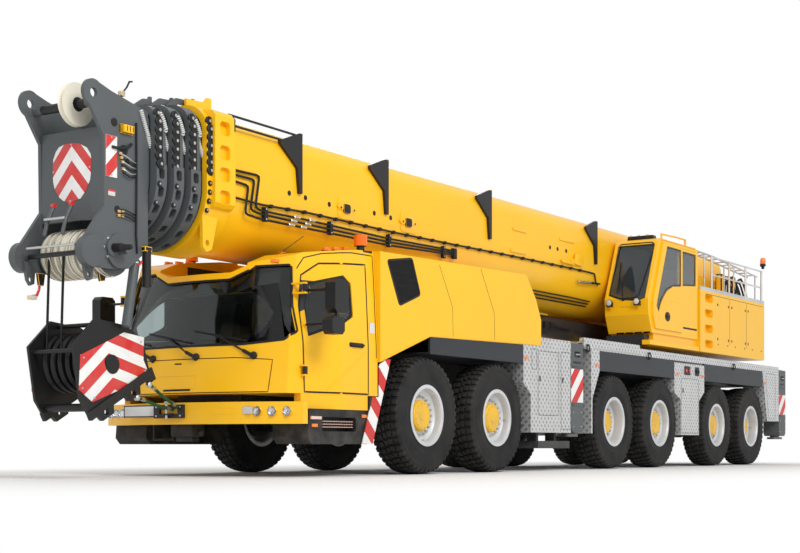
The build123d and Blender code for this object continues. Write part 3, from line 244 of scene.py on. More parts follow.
# %% [markdown]
# Crane paint is a two-coat enamel. Close up it has a faint orange peel, over a panel its tone
# drifts a little, and road dust dulls it from below. Broad noise moves the tone, fine noise
# drives the bump and the gloss, and height mixes in the dust. The clear coat is one number for the
# whole surface, so it sits on the shader's own socket. Many welded parts carry more than one
# finish, such as black brackets on a yellow boom. A painter masks them off, and so does this
# network: each area is a range of x, y or z, of a slanted direction, or of the distance from a
# shaft, and inside all its ranges another colour, gloss and metal take over.

# %% Paint with masked areas
DUST = (0.30, 0.27, 0.22, 1.0)
FAR = 99.0


def measure(tree, parts, key):
    """A coordinate by name, the distance from a shaft along y at (x, z), or a slanted direction."""
    if isinstance(key, str):
        return parts[key]
    if len(key) == 2:
        off_x = maths(tree, "SUBTRACT", parts["x"], key[0])
        off_z = maths(tree, "SUBTRACT", parts["z"], key[1])
        square_x, square_z = (maths(tree, "MULTIPLY", off, off) for off in (off_x, off_z))
        return maths(tree, "SQRT", maths(tree, "ADD", square_x, square_z))
    total = maths(tree, "MULTIPLY", parts["x"], key[0])
    for name, share in zip(("y", "z"), key[1:]):
        total = maths(tree, "MULTIPLY_ADD", parts[name], share, total)
    return total


def masked(tree, parts, limits):
    mask = 1.0
    for key, (low, high) in limits.items():
        amount = measure(tree, parts, key)
        inside = maths(tree, "COMPARE", amount, (low + high) / 2, (high - low) / 2)
        mask = maths(tree, "MULTIPLY", inside, mask)
    return mask


def within(outline, **others):
    """Ranges that hold inside a convex outline drawn in x and z."""
    middle_x, middle_z = (sum(parts) / len(outline) for parts in zip(*outline))
    limits = dict(others)
    for (x0, z0), (x1, z1) in zip(outline, outline[1:] + outline[:1]):
        out_x, out_z = z1 - z0, x0 - x1
        if out_x * (middle_x - x0) + out_z * (middle_z - z0) > 0:
            out_x, out_z = -out_x, -out_z
        limits[(out_x, 0.0, out_z)] = (-FAR, out_x * x0 + out_z * z0)
    return limits


def coordinates(tree, where):
    split = add(tree, "SeparateXYZ", {"Vector": where}).outputs
    return {"x": split["X"], "y": maths(tree, "ABSOLUTE", split["Y"]),
            "side": split["Y"], "z": split["Z"]}


def paint(name, colour, gloss, coat=0.0, metal=0.0, drift=0.10, dust=0.25, dust_top=1.2,
          peel=0.02, areas=()):
    made, tree = start_finish(name)
    where = places(tree)
    parts = coordinates(tree, where)
    tone = between(tree, noise(tree, where, 0.9), 0.3, 0.7, 0.0, 1.0)
    colours = blend_colour(tree, tone, shade(colour, 1.0 - drift), shade(colour, 1.0 + drift))
    wear = noise(tree, where, 35.0, 5.0)
    rough = between(tree, wear, 0.3, 0.7, gloss - 0.02, gloss + 0.04)
    metallic = metal
    for limits, other, other_gloss, other_metal in areas:
        mask = masked(tree, parts, limits)
        if callable(other):
            drawn = other(tree, parts)
        else:
            drawn = blend_colour(tree, tone, shade(other, 0.85), shade(other, 1.15))
        colours = blend_colour(tree, mask, colours, drawn)
        rough = blend_number(tree, mask, rough, other_gloss)
        if other_metal or metallic:
            metallic = blend_number(tree, mask, metallic, other_metal)
    low_down = between(tree, parts["z"], 0.1, dust_top, dust, 0.0)
    streaks = between(tree, noise(tree, where, 7.0, 6.0), 0.35, 0.75, 0.0, 1.0)
    dirty = maths(tree, "MULTIPLY", low_down, streaks)
    colours = blend_colour(tree, dirty, colours, DUST)
    surface(tree, {
        "Base Color": colours, "Roughness": maths(tree, "ADD", rough, dirty), "Metallic": metallic,
        "Coat Weight": coat, "Coat Roughness": 0.08, "Specular IOR Level": 0.30,
        "Normal": dent(tree, noise(tree, where, 260.0, 2.0), peel, 0.01)})
    return made


YELLOW = (0.93, 0.50, 0.008)
HEAD_GREY = (0.085, 0.094, 0.098)
SKIRT_GREY = (0.022, 0.025, 0.030)
FRAME_BLACK = (0.014, 0.015, 0.016)
BLACK = (0.010, 0.010, 0.011)
TRIM = (0.030, 0.032, 0.036)
CREAM = (0.72, 0.68, 0.56)
SILVER = (0.62, 0.64, 0.66)
STEEL = (0.16, 0.155, 0.15)


def coated(name, areas=(), dust=0.10):
    """The crane's yellow, with the areas that are painted otherwise."""
    return paint(name, YELLOW, 0.30, coat=0.14, drift=0.03, dust=dust, areas=areas)


yellow = coated("yellow_paint")
boom_grey = paint("boom_grey_paint", HEAD_GREY, 0.42, coat=0.15)
frame_black = paint("frame_black_paint", FRAME_BLACK, 0.55, dust=0.22)
black_paint = paint("black_bracket_paint", BLACK, 0.45, dust=0.0)
print("paints", 4)

# %% [markdown]
# A vehicle that is wider than a car's lane carries red and white marks. They are cut from
# reflective sheet, so they are flat, slightly pearly and a little brighter than paint. The bands
# are worked out by repeating one direction. A chevron is the same band, folded at its middle line
# by taking the distance from it. The sheet's tiny prisms are a fine honeycomb in the bump.

# %% Red and white sheet
SHEET_WHITE = (0.80, 0.80, 0.78, 1.0)
SHEET_RED = (0.60, 0.018, 0.016, 1.0)


def red_and_white(tree, distance, start, period):
    turns = maths(tree, "DIVIDE", maths(tree, "SUBTRACT", distance, start), period)
    red = maths(tree, "LESS_THAN", maths(tree, "FRACT", turns), 0.5)
    return blend_colour(tree, red, SHEET_WHITE, SHEET_RED)


def bands(along, period, start=0.0):
    def draw(tree, parts):
        return red_and_white(tree, measure(tree, parts, along), start, period)
    return draw


def chevrons(up, across, middle, slope, period, start=0.0):
    def draw(tree, parts):
        off = maths(tree, "SUBTRACT", measure(tree, parts, across), middle)
        height = maths(tree, "MULTIPLY_ADD", maths(tree, "ABSOLUTE", off), slope,
                       measure(tree, parts, up))
        return red_and_white(tree, height, start, period)
    return draw


def reflective(name, draw):
    made, tree = start_finish(name)
    where = places(tree)
    colours = draw(tree, coordinates(tree, where))
    cells = honeycomb(tree, where, 420.0)
    grime = between(tree, noise(tree, where, 9.0, 5.0), 0.45, 0.8, 0.0, 0.18)
    colours = blend_colour(tree, grime, colours, DUST)
    surface(tree, {
        "Base Color": colours, "Roughness": between(tree, cells, 0.0, 1.0, 0.25, 0.45),
        "Coat Weight": 0.4, "Normal": dent(tree, cells, 0.15, 0.002)})
    return made


print("reflective sheet ready")

# %% [markdown]
# Black plastic for steps, mirrors and trims is moulded with a leathery grain and is never shiny.
# The same recipe with other numbers gives the cab's trim, the rubber of seals, the printed border
# of the panes and the blank plates.

# %% Moulded plastic
def moulded(name, colour, rough, grain, depth, dust=0.15):
    made, tree = start_finish(name)
    where = places(tree)
    cells = honeycomb(tree, where, grain)
    tone = noise(tree, where, 3.0)
    height = add(tree, "SeparateXYZ", {"Vector": where}).outputs["Z"]
    dirty = maths(tree, "MULTIPLY", between(tree, height, 0.1, 1.5, dust, 0.0), tone)
    colours = blend_colour(tree, tone, shade(colour, 0.8), shade(colour, 1.25))
    colours = blend_colour(tree, dirty, colours, DUST)
    roughness = between(tree, noise(tree, where, 20.0), 0.3, 0.7, rough - 0.06, rough + 0.06)
    surface(tree, {"Base Color": colours, "Roughness": roughness, "Specular IOR Level": 0.35,
                   "Normal": dent(tree, cells, depth, 0.002)})
    return made


black_plastic = moulded("black_plastic", (0.010, 0.010, 0.011), 0.50, 500.0, 0.25)
cab_trim = moulded("cab_trim", (0.040, 0.042, 0.046), 0.65, 700.0, 0.30, dust=0.0)
seal_rubber = moulded("seal_rubber", (0.008, 0.008, 0.009), 0.60, 300.0, 0.10, dust=0.0)
gloss_black = moulded("printed_black_border", (0.006, 0.006, 0.007), 0.14, 900.0, 0.02, dust=0.0)
plate_white = moulded("blank_white_plate", (0.62, 0.62, 0.60), 0.35, 900.0, 0.02, dust=0.1)
print("plastics", 5)

# %% [markdown]
# The lockers and the deck edge are aluminium tread plate: a bright sheet with short raised bars
# rolled into it, in groups that lie one way and then the other, like basket weave. The pattern is
# worked out from two coordinates along the sheet. Which two depends on the way the sheet faces, so
# the network reads the surface's own normal first.

# %% Tread plate
TREAD_CELL = 0.050
FACING = 0.7
DIAGONAL = 0.707
BAR_LENGTH = 0.44
BAR_WIDTH = 0.055
BAR_PITCH = 0.12


def tread_plate():
    made, tree = start_finish("aluminium_tread_plate")
    sources = add(tree, "TexCoord").outputs
    where = add(tree, "SeparateXYZ", {"Vector": sources["Object"]}).outputs
    facing = add(tree, "SeparateXYZ", {"Vector": sources["Normal"]}).outputs
    cells = []
    for axis in ("X", "Z"):
        faces = maths(tree, "GREATER_THAN", maths(tree, "ABSOLUTE", facing[axis]), FACING)
        along = blend_number(tree, faces, where[axis], where["Y"])
        cells.append(maths(tree, "DIVIDE", along, TREAD_CELL))
    rows = maths(tree, "ADD", *(maths(tree, "FLOOR", cell) for cell in cells))
    parity = maths(tree, "PINGPONG", rows, 1.0)
    u, v = (maths(tree, "SUBTRACT", maths(tree, "FRACT", cell), 0.5) for cell in cells)
    turned = maths(tree, "MULTIPLY", v, maths(tree, "MULTIPLY_ADD", parity, -2.0, 1.0))
    length = maths(tree, "MULTIPLY", maths(tree, "ADD", u, turned), DIAGONAL)
    width = maths(tree, "MULTIPLY", maths(tree, "SUBTRACT", u, turned), DIAGONAL)
    width = maths(tree, "PINGPONG", maths(tree, "ADD", width, BAR_PITCH * 26), BAR_PITCH)
    width = maths(tree, "SUBTRACT", width, BAR_PITCH / 2)
    far = maths(tree, "ADD", *(maths(tree, "POWER", maths(tree, "DIVIDE", part, size), 2.0)
                               for part, size in ((length, BAR_LENGTH), (width, BAR_WIDTH))))
    bar = between(tree, far, 0.5, 1.3, 1.0, 0.0)
    dull = between(tree, noise(tree, sources["Object"], 5.0), 0.3, 0.7, 0.0, 1.0)
    sheet = blend_colour(tree, dull, (0.30, 0.31, 0.32, 1.0), (0.46, 0.47, 0.48, 1.0))
    surface(tree, {
        "Base Color": blend_colour(tree, bar, sheet, (0.80, 0.80, 0.79, 1.0)), "Metallic": 0.75,
        "Roughness": between(tree, bar, 0.0, 1.0, 0.42, 0.28), "Normal": dent(tree, bar, 0.6, 0.003)})
    return made


checker = tread_plate()
print("tread cell", TREAD_CELL)

# %% [markdown]
# Glass in a cab is thin, slightly green and full of the sky. A principled shader with full
# transmission bends and tints what is behind it and keeps its reflections. A low roughness from
# faint smears stops it from looking like a hole. Lamp lenses have fine ribs, and bare metal a
# brushed grain.

# %% Glass, lamps and bare metal
def glass(name, tint, rough=0.02):
    made, tree = start_finish(name)
    smears = between(tree, noise(tree, places(tree), 6.0), 0.3, 0.7, rough, rough + 0.03)
    surface(tree, {"Base Color": tint, "Roughness": smears, "Transmission Weight": 1.0,
                   "IOR": 1.45})
    return made


def lamp_lens(name, colour):
    made, tree = start_finish(name)
    waves = add(tree, "TexWave", {"Vector": places(tree), "Scale": 60.0, "Distortion": 0.0})
    ribs = waves.outputs["Fac"]
    colours = blend_colour(tree, ribs, shade(colour, 0.75), shade(colour, 1.1))
    surface(tree, {
        "Base Color": colours, "Roughness": 0.12, "Coat Weight": 0.6,
        "Normal": dent(tree, ribs, 0.3, 0.002),
        "Subsurface Weight": 0.2, "Subsurface Radius": (0.02, 0.008, 0.002)})
    return made


def metal(name, colour, rough, brushed=0.15):
    made, tree = start_finish(name)
    where = places(tree)
    tone = noise(tree, where, 40.0, 6.0)
    colours = blend_colour(tree, tone, shade(colour, 0.85), shade(colour, 1.1))
    roughness = between(tree, tone, 0.3, 0.7, rough - 0.04, rough + 0.08)
    surface(tree, {"Base Color": colours, "Roughness": roughness, "Metallic": 1.0,
                   "Normal": dent(tree, noise(tree, where, 300.0), brushed, 0.001)})
    return made


cab_glass = glass("tinted_cab_glass", (0.62, 0.70, 0.69, 1.0))
pale_glass = glass("pale_cab_glass", (0.86, 0.92, 0.92, 1.0))
lens_clear = glass("clear_lamp_glass", (0.95, 0.97, 1.0, 1.0), 0.01)
amber = lamp_lens("amber_lens", (1.0, 0.22, 0.01))
red_lens = lamp_lens("red_lens", (0.75, 0.02, 0.01))
chrome = metal("hard_chrome", (0.80, 0.80, 0.81), 0.10, 0.05)
rim_silver = paint("rim_silver_paint", (0.68, 0.69, 0.71), 0.32, metal=0.45, drift=0.05,
                   dust=0.25, dust_top=1.0)
zinc = metal("zinc_plated_steel", (0.60, 0.60, 0.58), 0.38)
print("clear and bare finishes", 8)

# %% [markdown]
# Most of what is added is small and made of sheet, bar and pipe. A workpiece collects such parts in
# one mesh, each with the number of its finish, and puts the whole on a body of the crane at last.
# Cut sheet gets a small round along its edges, because real sheet never ends in a knife edge and
# only a rounded edge catches the light. A first set of helpers lays out corners, circles and bends.

# %% Outlines and places
AXES = {"x": Vector((1, 0, 0)), "y": Vector((0, 1, 0)), "z": Vector((0, 0, 1))}
OUT = {1: Vector((0, 1, 0)), -1: Vector((0, -1, 0))}
LEFT_RIGHT = (1, -1)


def spot(axis, level, a, b):
    return Vector({"x": (level, a, b), "y": (a, level, b), "z": (a, b, level)}[axis])


def span(side, inner, outer):
    """A range of y on one side of the crane, low end first."""
    return sorted((side * inner, side * outer))


def angles(count, first=0.0):
    return [math.tau * (number + first) / count for number in range(count)]


def around(centre, radius, count, first=0.0):
    """Places in equal steps round an axis along y."""
    x, y, z = centre
    return [(x + radius * math.cos(a), y, z + radius * math.sin(a)) for a in angles(count, first)]


def rounded(outline, radius, steps=4):
    """An outline with its corners rounded off by short arcs."""
    result = []
    count = len(outline)
    for number, corner in enumerate(outline):
        corner = Vector(corner)
        before = Vector(outline[number - 1]) - corner
        after = Vector(outline[(number + 1) % count]) - corner
        reach = min(radius, before.length * 0.45, after.length * 0.45)
        start, end = corner + before.normalized() * reach, corner + after.normalized() * reach
        for step in range(steps + 1):
            t = step / steps
            result.append(tuple(start * (1 - t) ** 2 + corner * 2 * t * (1 - t) + end * t * t))
    return result


def rect(low_a, high_a, low_b, high_b, radius=0.0):
    outline = [(low_a, low_b), (high_a, low_b), (high_a, high_b), (low_a, high_b)]
    return rounded(outline, radius) if radius else outline


def mirrored(outline):
    return [(-a, b) for a, b in outline]


def shrunk(outline, share):
    middle = [sum(parts) / len(outline) for parts in zip(*outline)]
    return [tuple(m + (p - m) * share for p, m in zip(point, middle)) for point in outline]


def eased(points, reach=0.045):
    """A bent line: every inner corner is replaced by three points of a small curve."""
    points = [Vector(p) for p in points]
    result = [points[0]]
    for before, corner, after in zip(points, points[1:], points[2:]):
        near, far = (corner + (end - corner).normalized() * min(reach, (end - corner).length * 0.4)
                     for end in (before, after))
        result += [near, (near + far + corner * 2) / 4, far]
    return result + [points[-1]]


print("helpers for outlines ready")

# %% [markdown]
# The workpiece itself works like a small workshop. A slab is sawn from sheet, a turned part comes
# off the lathe, a pipe follows its points, and a ribbon or a ring is laid on a surface.

# %% Workpiece
SHARP_ANGLE = math.radians(38)
SUNK = 0.002


def smoothed(mesh, finishes):
    for finish in finishes:
        mesh.materials.append(finish)
    for face in mesh.polygons:
        face.use_smooth = True
    mesh.set_sharp_from_angle(angle=SHARP_ANGLE)
    return mesh


def hang(name, mesh, body, place=None):
    made = bpy.data.objects.new(name, mesh)
    scene.collection.objects.link(made)
    if place is not None:
        made.matrix_world = place
    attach(made, body)
    return made


class Workpiece:
    def __init__(self):
        self.shape = bmesh.new()

    def loop(self, points):
        return [self.shape.verts.new(point) for point in points]

    def bridge(self, loops):
        """Four-sided faces between each loop of points and the next."""
        faces = []
        for first, second in zip(loops, loops[1:]):
            for step in range(len(first)):
                after = (step + 1) % len(first)
                corners = (first[step], first[after], second[after], second[step])
                faces.append(self.shape.faces.new(corners))
        return faces

    def capped(self, loops):
        return [self.shape.faces.new(loops[0]),
                self.shape.faces.new(loops[-1])] + self.bridge(loops)

    def settle(self, faces, finish, soften=0.0):
        bmesh.ops.recalc_face_normals(self.shape, faces=faces)
        for face in faces:
            face.material_index = finish
        if soften > 0:
            edges = {edge for face in faces for edge in face.edges if edge.calc_face_angle(0.0) > 0.5}
            bmesh.ops.bevel(self.shape, geom=list(edges), offset=soften, segments=2, profile=0.6,
                            affect="EDGES", clamp_overlap=True)

    def slab(self, outline, axis, low, high, finish=0, soften=0.003):
        loops = [self.loop(spot(axis, level, a, b) for a, b in outline) for level in (low, high)]
        self.settle(self.capped(loops), finish, soften)

    def box(self, x, y, z, finish=0, soften=0.004):
        self.slab(rect(*x, *y), "z", *z, finish, soften)

    def block(self, centre, half, finish=0, soften=0.004):
        """A box by its centre and half its size."""
        self.box(*((m - h, m + h) for m, h in zip(centre, half)), finish, soften)

    def turn(self, centre, axis, profile, finish=0, steps=32):
        axis = (AXES[axis] if isinstance(axis, str) else Vector(axis)).normalized()
        side = axis.orthogonal().normalized()
        up = axis.cross(side)
        rings = []
        for radius, along in profile:
            middle = Vector(centre) + axis * along
            if radius < 1e-6:
                rings.append(self.loop([middle]))
                continue
            rings.append(self.loop(middle + (side * math.cos(a) + up * math.sin(a)) * radius
                                   for a in angles(steps)))
        faces = []
        for first, second in zip(rings, rings[1:]):
            for step in range(steps):
                after = (step + 1) % steps
                corners = [first[step % len(first)], first[after % len(first)],
                           second[after % len(second)], second[step % len(second)]]
                corners = [c for i, c in enumerate(corners) if c not in corners[:i]]
                if len(corners) > 2:
                    faces.append(self.shape.faces.new(corners))
        self.settle(faces, finish)

    def bar(self, start, end, radius, finish=0, steps=16):
        run = Vector(end) - Vector(start)
        tip = min(radius * 0.25, run.length * 0.2)
        profile = [(0, 0), (radius - tip, 0), (radius, tip), (radius, run.length - tip),
                   (radius - tip, run.length), (0, run.length)]
        self.turn(start, run, profile, finish, steps)

    def pipe(self, points, radius, finish=0, steps=10):
        points = [Vector(p) for p in points]
        side = (points[1] - points[0]).orthogonal().normalized()
        rings = []
        for number, point in enumerate(points):
            before = (point - points[number - 1]).normalized() if number else None
            after = (points[number + 1] - point).normalized() if number + 1 < len(points) else None
            way = ((before or after) + (after or before)).normalized()
            side = (side - way * side.dot(way)).normalized()
            up = way.cross(side)
            wide = radius / max(0.5, way.dot(before or after))
            rings.append(self.loop(point + (side * math.cos(a) + up * math.sin(a)) * wide
                                   for a in angles(steps)))
        self.settle(self.capped(rings), finish)

    def hose(self, points, reach, radius, finish=0, steps=10):
        self.pipe(eased(points, reach), radius, finish, steps)

    def bolt(self, place, axis, size, finish=0):
        """A washer and a hexagonal head."""
        for steps, profile in ((12, ((1.15, 0), (1.15, 0.18), (0.98, 0.18))),
                               (6, ((1, 0.18), (1, 0.85), (0.8, 1), (0, 1)))):
            self.turn(place, axis, [(r * size, h * size) for r, h in profile], finish, steps)

    def ribbon(self, trail, width, height, finish=0, closed=False):
        """A strip along points with normals, standing up from the surface they were found on."""
        rings = []
        count = len(trail)
        for number, (place, normal) in enumerate(trail):
            before = trail[number - 1][0] if closed or number else place
            after = trail[(number + 1) % count][0] if closed or number + 1 < count else place
            side = normal.cross(after - before).normalized() * width / 2
            foot, head = place - normal * SUNK, place + normal * height
            rings.append(self.loop((foot - side, head - side * 0.8, head + side * 0.8,
                                    foot + side)))
        self.settle(self.bridge(rings + rings[:1]) if closed else self.capped(rings), finish)

    def seam(self, skin, outline, view, width, height, finish=0, closed=False, **how):
        """A ribbon along an outline that is laid on a skin."""
        trail = trace(skin, outline, view, closed, **how)
        if len(trail) > 1:
            self.ribbon(trail, width, height, finish, closed)

    def ring(self, outer, inner, thickness, finish=0):
        """A thin sheet between two closed trails, as far as both have points."""
        count = min(len(outer), len(inner))
        layers = [self.loop(place + normal * off for place, normal in trail[:count])
                  for trail, off in ((outer, -SUNK / 2), (outer, thickness),
                                     (inner, thickness), (inner, -SUNK / 2))]
        self.settle(self.bridge(layers + layers[:1]), finish)

    def cast(self, name):
        mesh = bpy.data.meshes.new(name)
        self.shape.to_mesh(mesh)
        self.shape.free()
        return mesh

    def hang(self, name, body, slot, *finishes):
        return hang(name, smoothed(self.cast(name), finishes), body)


print("workshop ready")

# %% [markdown]
# Seams, seals and wipers lie on panels that curve. Rather than guess where a panel is, a ray is
# fired at the CAD part from outside, as a carpenter scribes a board to a wall. An outline drawn on
# paper then falls on the real surface, and each point comes with the direction that the surface
# faces there, which is what a strip needs to stand up from it.

# %% Lay outlines on a panel
AHEAD = ("x", 9.5)


def beside(side, reach=3.0):
    """Where rays start at one side of the crane: 1 is the left and -1 the right."""
    return "y", reach * side


def skin_of(*nodes):
    points, faces = [], []
    for node in nodes:
        mesh = frame["nodes"][node].data
        first = len(points)
        points += [vertex.co.copy() for vertex in mesh.vertices]
        faces += [[first + index for index in face.vertices] for face in mesh.polygons]
    return BVHTree.FromPolygons(points, faces)


def land(skin, view, a, b):
    """Where a ray meets a skin, and the way the skin faces there. None if it misses."""
    axis, start = view
    way = AXES[axis] * -math.copysign(1.0, start)
    place, normal, _, _ = skin.ray_cast(spot(axis, start, a, b), way)
    if place is None:
        return None
    return place, -normal if normal.dot(way) > 0 else normal


def trace(skin, outline, view, closed=False, lift=0.0, step=0.06, parts=None):
    """Where an outline falls on a skin, as points with normals. With parts=1 only its corners."""
    corners = list(outline) + ([outline[0]] if closed else [])
    landed = []
    for number, (first, second) in enumerate(zip(corners, corners[1:])):
        count = parts or max(1, round(math.dist(first, second) / step))
        last = not closed and number == len(corners) - 2
        for part in range(count + last):
            found = land(skin, view, *(p + (q - p) * part / count for p, q in zip(first, second)))
            if found:
                place, normal = found
                landed.append((place + normal * lift, normal))
    return landed


def proudest(skin, outline, view, **how):
    """How far out from the crane's middle a skin stands under an outline."""
    axis, start = view
    trail = trace(skin, outline, view, **how)
    return max(place["xyz".index(axis)] * math.copysign(1.0, start) for place, _ in trail)


print("skin tools ready")

# %% [markdown]
# A crane tyre is as high as a child and carries twelve tonnes an axle. Its tread is two rows of
# shoulder lugs and three rows of blocks between deep grooves. The casing is turned from one
# profile, and each block stands on it as a closed form with sloping flanks, laid out in the
# unrolled tread and wrapped round the casing. All twelve tyres then share this one mesh.

# %% Tyre
TYRE_RADIUS = 0.685
TYRE_WIDTH = 0.385
PITCHES = 46
SHOULDER = 0.17
# Tread blocks of one pitch: corners as shares of the pitch and places across the tread
TREAD_BLOCKS = (
    ((0.06, 0.118), (0.70, 0.112), (0.70, 0.180), (0.06, 0.180)),
    ((0.04, 0.040), (0.74, 0.028), (0.80, 0.094), (0.10, 0.100)),
    ((0.28, -0.024), (0.98, -0.012), (0.98, 0.020), (0.28, 0.032)),
    ((0.54, -0.100), (1.24, -0.094), (1.18, -0.028), (0.48, -0.040)),
    ((0.50, -0.180), (1.14, -0.180), (1.14, -0.112), (0.50, -0.118)),
)
# Radius and place across the casing, from the left bead to the middle of the tread
CASING = (
    (0.3185, 0.168), (0.345, 0.176), (0.372, 0.181), (0.400, 0.187), (0.430, 0.190), (0.434, 0.192),
    (0.470, TYRE_WIDTH / 2), (0.520, TYRE_WIDTH / 2), (0.560, 0.190), (0.588, 0.187), (0.592,
                                                                                       0.189),
    (0.612, 0.187), (0.632, 0.181), (0.646, 0.170), (0.655, 0.12), (0.6575, 0.04))


def crown(across):
    return TYRE_RADIUS - 0.001 - 0.022 * (abs(across) / 0.18) ** 4


def wrap(share, across, radius):
    angle = math.tau * share / PITCHES
    return Vector((radius * math.sin(angle), across, radius * math.cos(angle)))


def tread_block(tyre, pitch, corners):
    middle_share, middle_across = (sum(parts) / 4 for parts in zip(*corners))
    feet, heads = [], []
    for share, across in corners:
        foot, foot_across = crown(across) - 0.030, across
        if abs(across) > SHOULDER:
            foot, foot_across = 0.610, across + math.copysign(0.008, across)
        feet += tyre.loop([wrap(pitch + share, foot_across, foot)])
        share = middle_share + (share - middle_share) * 0.90
        across = middle_across + (across - middle_across) * 0.93
        heads += tyre.loop([wrap(pitch + share, across, crown(across))])
    faces = [tyre.shape.faces.new(heads), tyre.shape.faces.new(feet)] + tyre.bridge([feet, heads])
    tyre.settle(faces, 0, 0.003)


def tyre_mesh():
    tyre = Workpiece()
    profile = [*CASING, *((radius, -across) for radius, across in reversed(CASING))]
    tyre.turn((0, 0, 0), "y", profile, 0, PITCHES * 2)
    for pitch in range(PITCHES):
        for corners in TREAD_BLOCKS:
            tread_block(tyre, pitch, corners)
    return tyre.cast("tyre")


tyre_pattern = tyre_mesh()
print("tyre triangles", sum(len(face.vertices) - 2 for face in tyre_pattern.polygons))

# %% [markdown]
# Tyre rubber is nearly black where it is new and brown-grey where it meets the road. Fine rings
# from the mould run round the sidewall, so one wave is driven by the distance from the axle. The
# tyre's own centre is its object's origin, which makes that distance easy to get.

# %% Tyre rubber
def tyre_rubber():
    made, tree = start_finish("tyre_rubber")
    where = places(tree)
    parts = add(tree, "SeparateXYZ", {"Vector": where})
    flat = add(tree, "CombineXYZ", {"X": parts.outputs["X"], "Y": 0.0, "Z": parts.outputs["Z"]})
    radius = add(tree, "VectorMath", {0: flat.outputs[0]}, operation="LENGTH").outputs["Value"]
    rings = maths(tree, "SINE", maths(tree, "MULTIPLY", radius, 900.0))
    on_side = maths(tree, "MULTIPLY", between(tree, radius, 0.36, 0.60, 1.0, 0.2), 0.4)
    grain = noise(tree, where, 90.0, 6.0)
    height = maths(tree, "ADD", maths(tree, "MULTIPLY", rings, on_side), grain)
    bump = add(tree, "Bump", {"Height": height, "Strength": 0.35, "Distance": 0.002})
    patches = between(tree, noise(tree, where, 4.0, 5.0), 0.35, 0.7, 0.0, 1.0)
    road = between(tree, radius, 0.60, TYRE_RADIUS, 0.10, 0.55)
    dirty = maths(tree, "MULTIPLY", road, patches)
    colours = blend_colour(tree, patches, (0.009, 0.009, 0.010, 1.0), (0.018, 0.017, 0.016, 1.0))
    colours = blend_colour(tree, dirty, colours, (0.055, 0.050, 0.043, 1.0))
    surface(tree, {
        "Base Color": colours, "Roughness": between(tree, grain, 0.3, 0.7, 0.62, 0.82),
        "Specular IOR Level": 0.30, "Normal": bump.outputs[0]})
    return made


rubber = tyre_rubber()
print("rubber", rubber.name)

# %% [markdown]
# A rim is a wide steel barrel with a dished disc, held by a ring of nuts. On a driven axle the
# hub's gear case sticks out through it as a yellow drum, nearly level with the flange. On the
# other axles the drum is shorter. Both kinds come from the same lathe profile with one number
# changed, and the nuts and the cover's screws go round it in two rings.

# %% Rims
RIM_FLANGE = 0.360
HUB_RADIUS = 0.180
HUB_REACH = {True: 0.122, False: 0.060}
NUTS = 20
NUT_CIRCLE = 0.224
SCREWS = 12
SCREW_CIRCLE = 0.146


def rim_mesh(driven):
    rim = Workpiece()
    cap = HUB_REACH[driven]
    disc = cap - 0.052
    barrel = [
        (0.3182, -0.172), (0.340, -0.174), (0.356, -0.180), (RIM_FLANGE, -0.186), (0.350, -0.187),
        (0.318, -0.187), (0.300, -0.172), (0.300, disc - 0.03), (0.262, disc - 0.022),
        (0.115, disc - 0.028), (0.115, disc - 0.004), (0.188, disc), (0.252, disc),
        (0.270, disc + 0.008), (0.290, disc + 0.022), (0.300, disc + 0.030), (0.300, 0.120),
        (0.306, 0.140), (0.306, 0.166), (0.318, 0.187), (0.350, 0.187), (RIM_FLANGE, 0.186),
        (0.357, 0.178), (0.340, 0.174), (0.3182, 0.172)]
    lip = [(0.309, 0.150), (0.3125, 0.154), (0.309, 0.158)]
    drum = [(0.186, disc - 0.004), (0.186, disc + 0.012), (HUB_RADIUS, disc + 0.014),
            (HUB_RADIUS, cap - 0.020), (0.174, cap - 0.010), (0.160, cap - 0.004), (0.158, cap),
            (0.062, cap), (0.058, cap + 0.006), (0.0, cap + 0.006)]
    for profile, finish, steps in ((barrel, 0, 72), (lip, 0, 72), (drum, 1, 48)):
        rim.turn((0, 0, 0), "y", profile, finish, steps)
    for place in around((0, disc, 0), NUT_CIRCLE, NUTS):
        rim.turn(place, "y", [(0.019, 0.0), (0.019, 0.006), (0.015, 0.006)], 2, 12)
        rim.turn(place, "y", [(0.0155, 0.006), (0.0155, 0.024), (0.012, 0.028), (0.008, 0.028),
                              (0.008, 0.038), (0, 0.040)], 2, 6)
    for place in around((0, cap - 0.001, 0), SCREW_CIRCLE, SCREWS, 0.5):
        rim.bolt(place, "y", 0.0085, 1)
    valve_stem = [(0.292, disc + 0.03, 0.02), (0.288, disc + 0.06, 0.02),
                  (0.284, disc + 0.085, 0.02)]
    rim.pipe(valve_stem, 0.006, 2, 8)
    return rim.cast("rim")


rim_patterns = {driven: rim_mesh(driven) for driven in (True, False)}
print("rim triangles", sum(len(face.vertices) - 2 for face in rim_patterns[True].polygons))

# %% [markdown]
# Each wheel takes the place of its CAD wheel. The patterns lie at the origin with their outer
# side to the left, so a left wheel is only moved and a right one is turned half round as well.
# Quarter turns about the axle keep neighbouring wheels from looking like copies.

# %% Hang the twelve wheels
AXLE_X = (4.030, 2.380, -1.070, -2.720, -5.120, -6.770)
DRIVEN = (True, True, False, True, True, False)
WHEEL_Y = 1.2325
hub_yellow = paint("hub_yellow_paint", (0.87, 0.50, 0.012), 0.38, coat=0.2, dust=0.35, dust_top=1.4)
smoothed(tyre_pattern, [rubber])
for pattern in rim_patterns.values():
    smoothed(pattern, [rim_silver, hub_yellow, zinc])


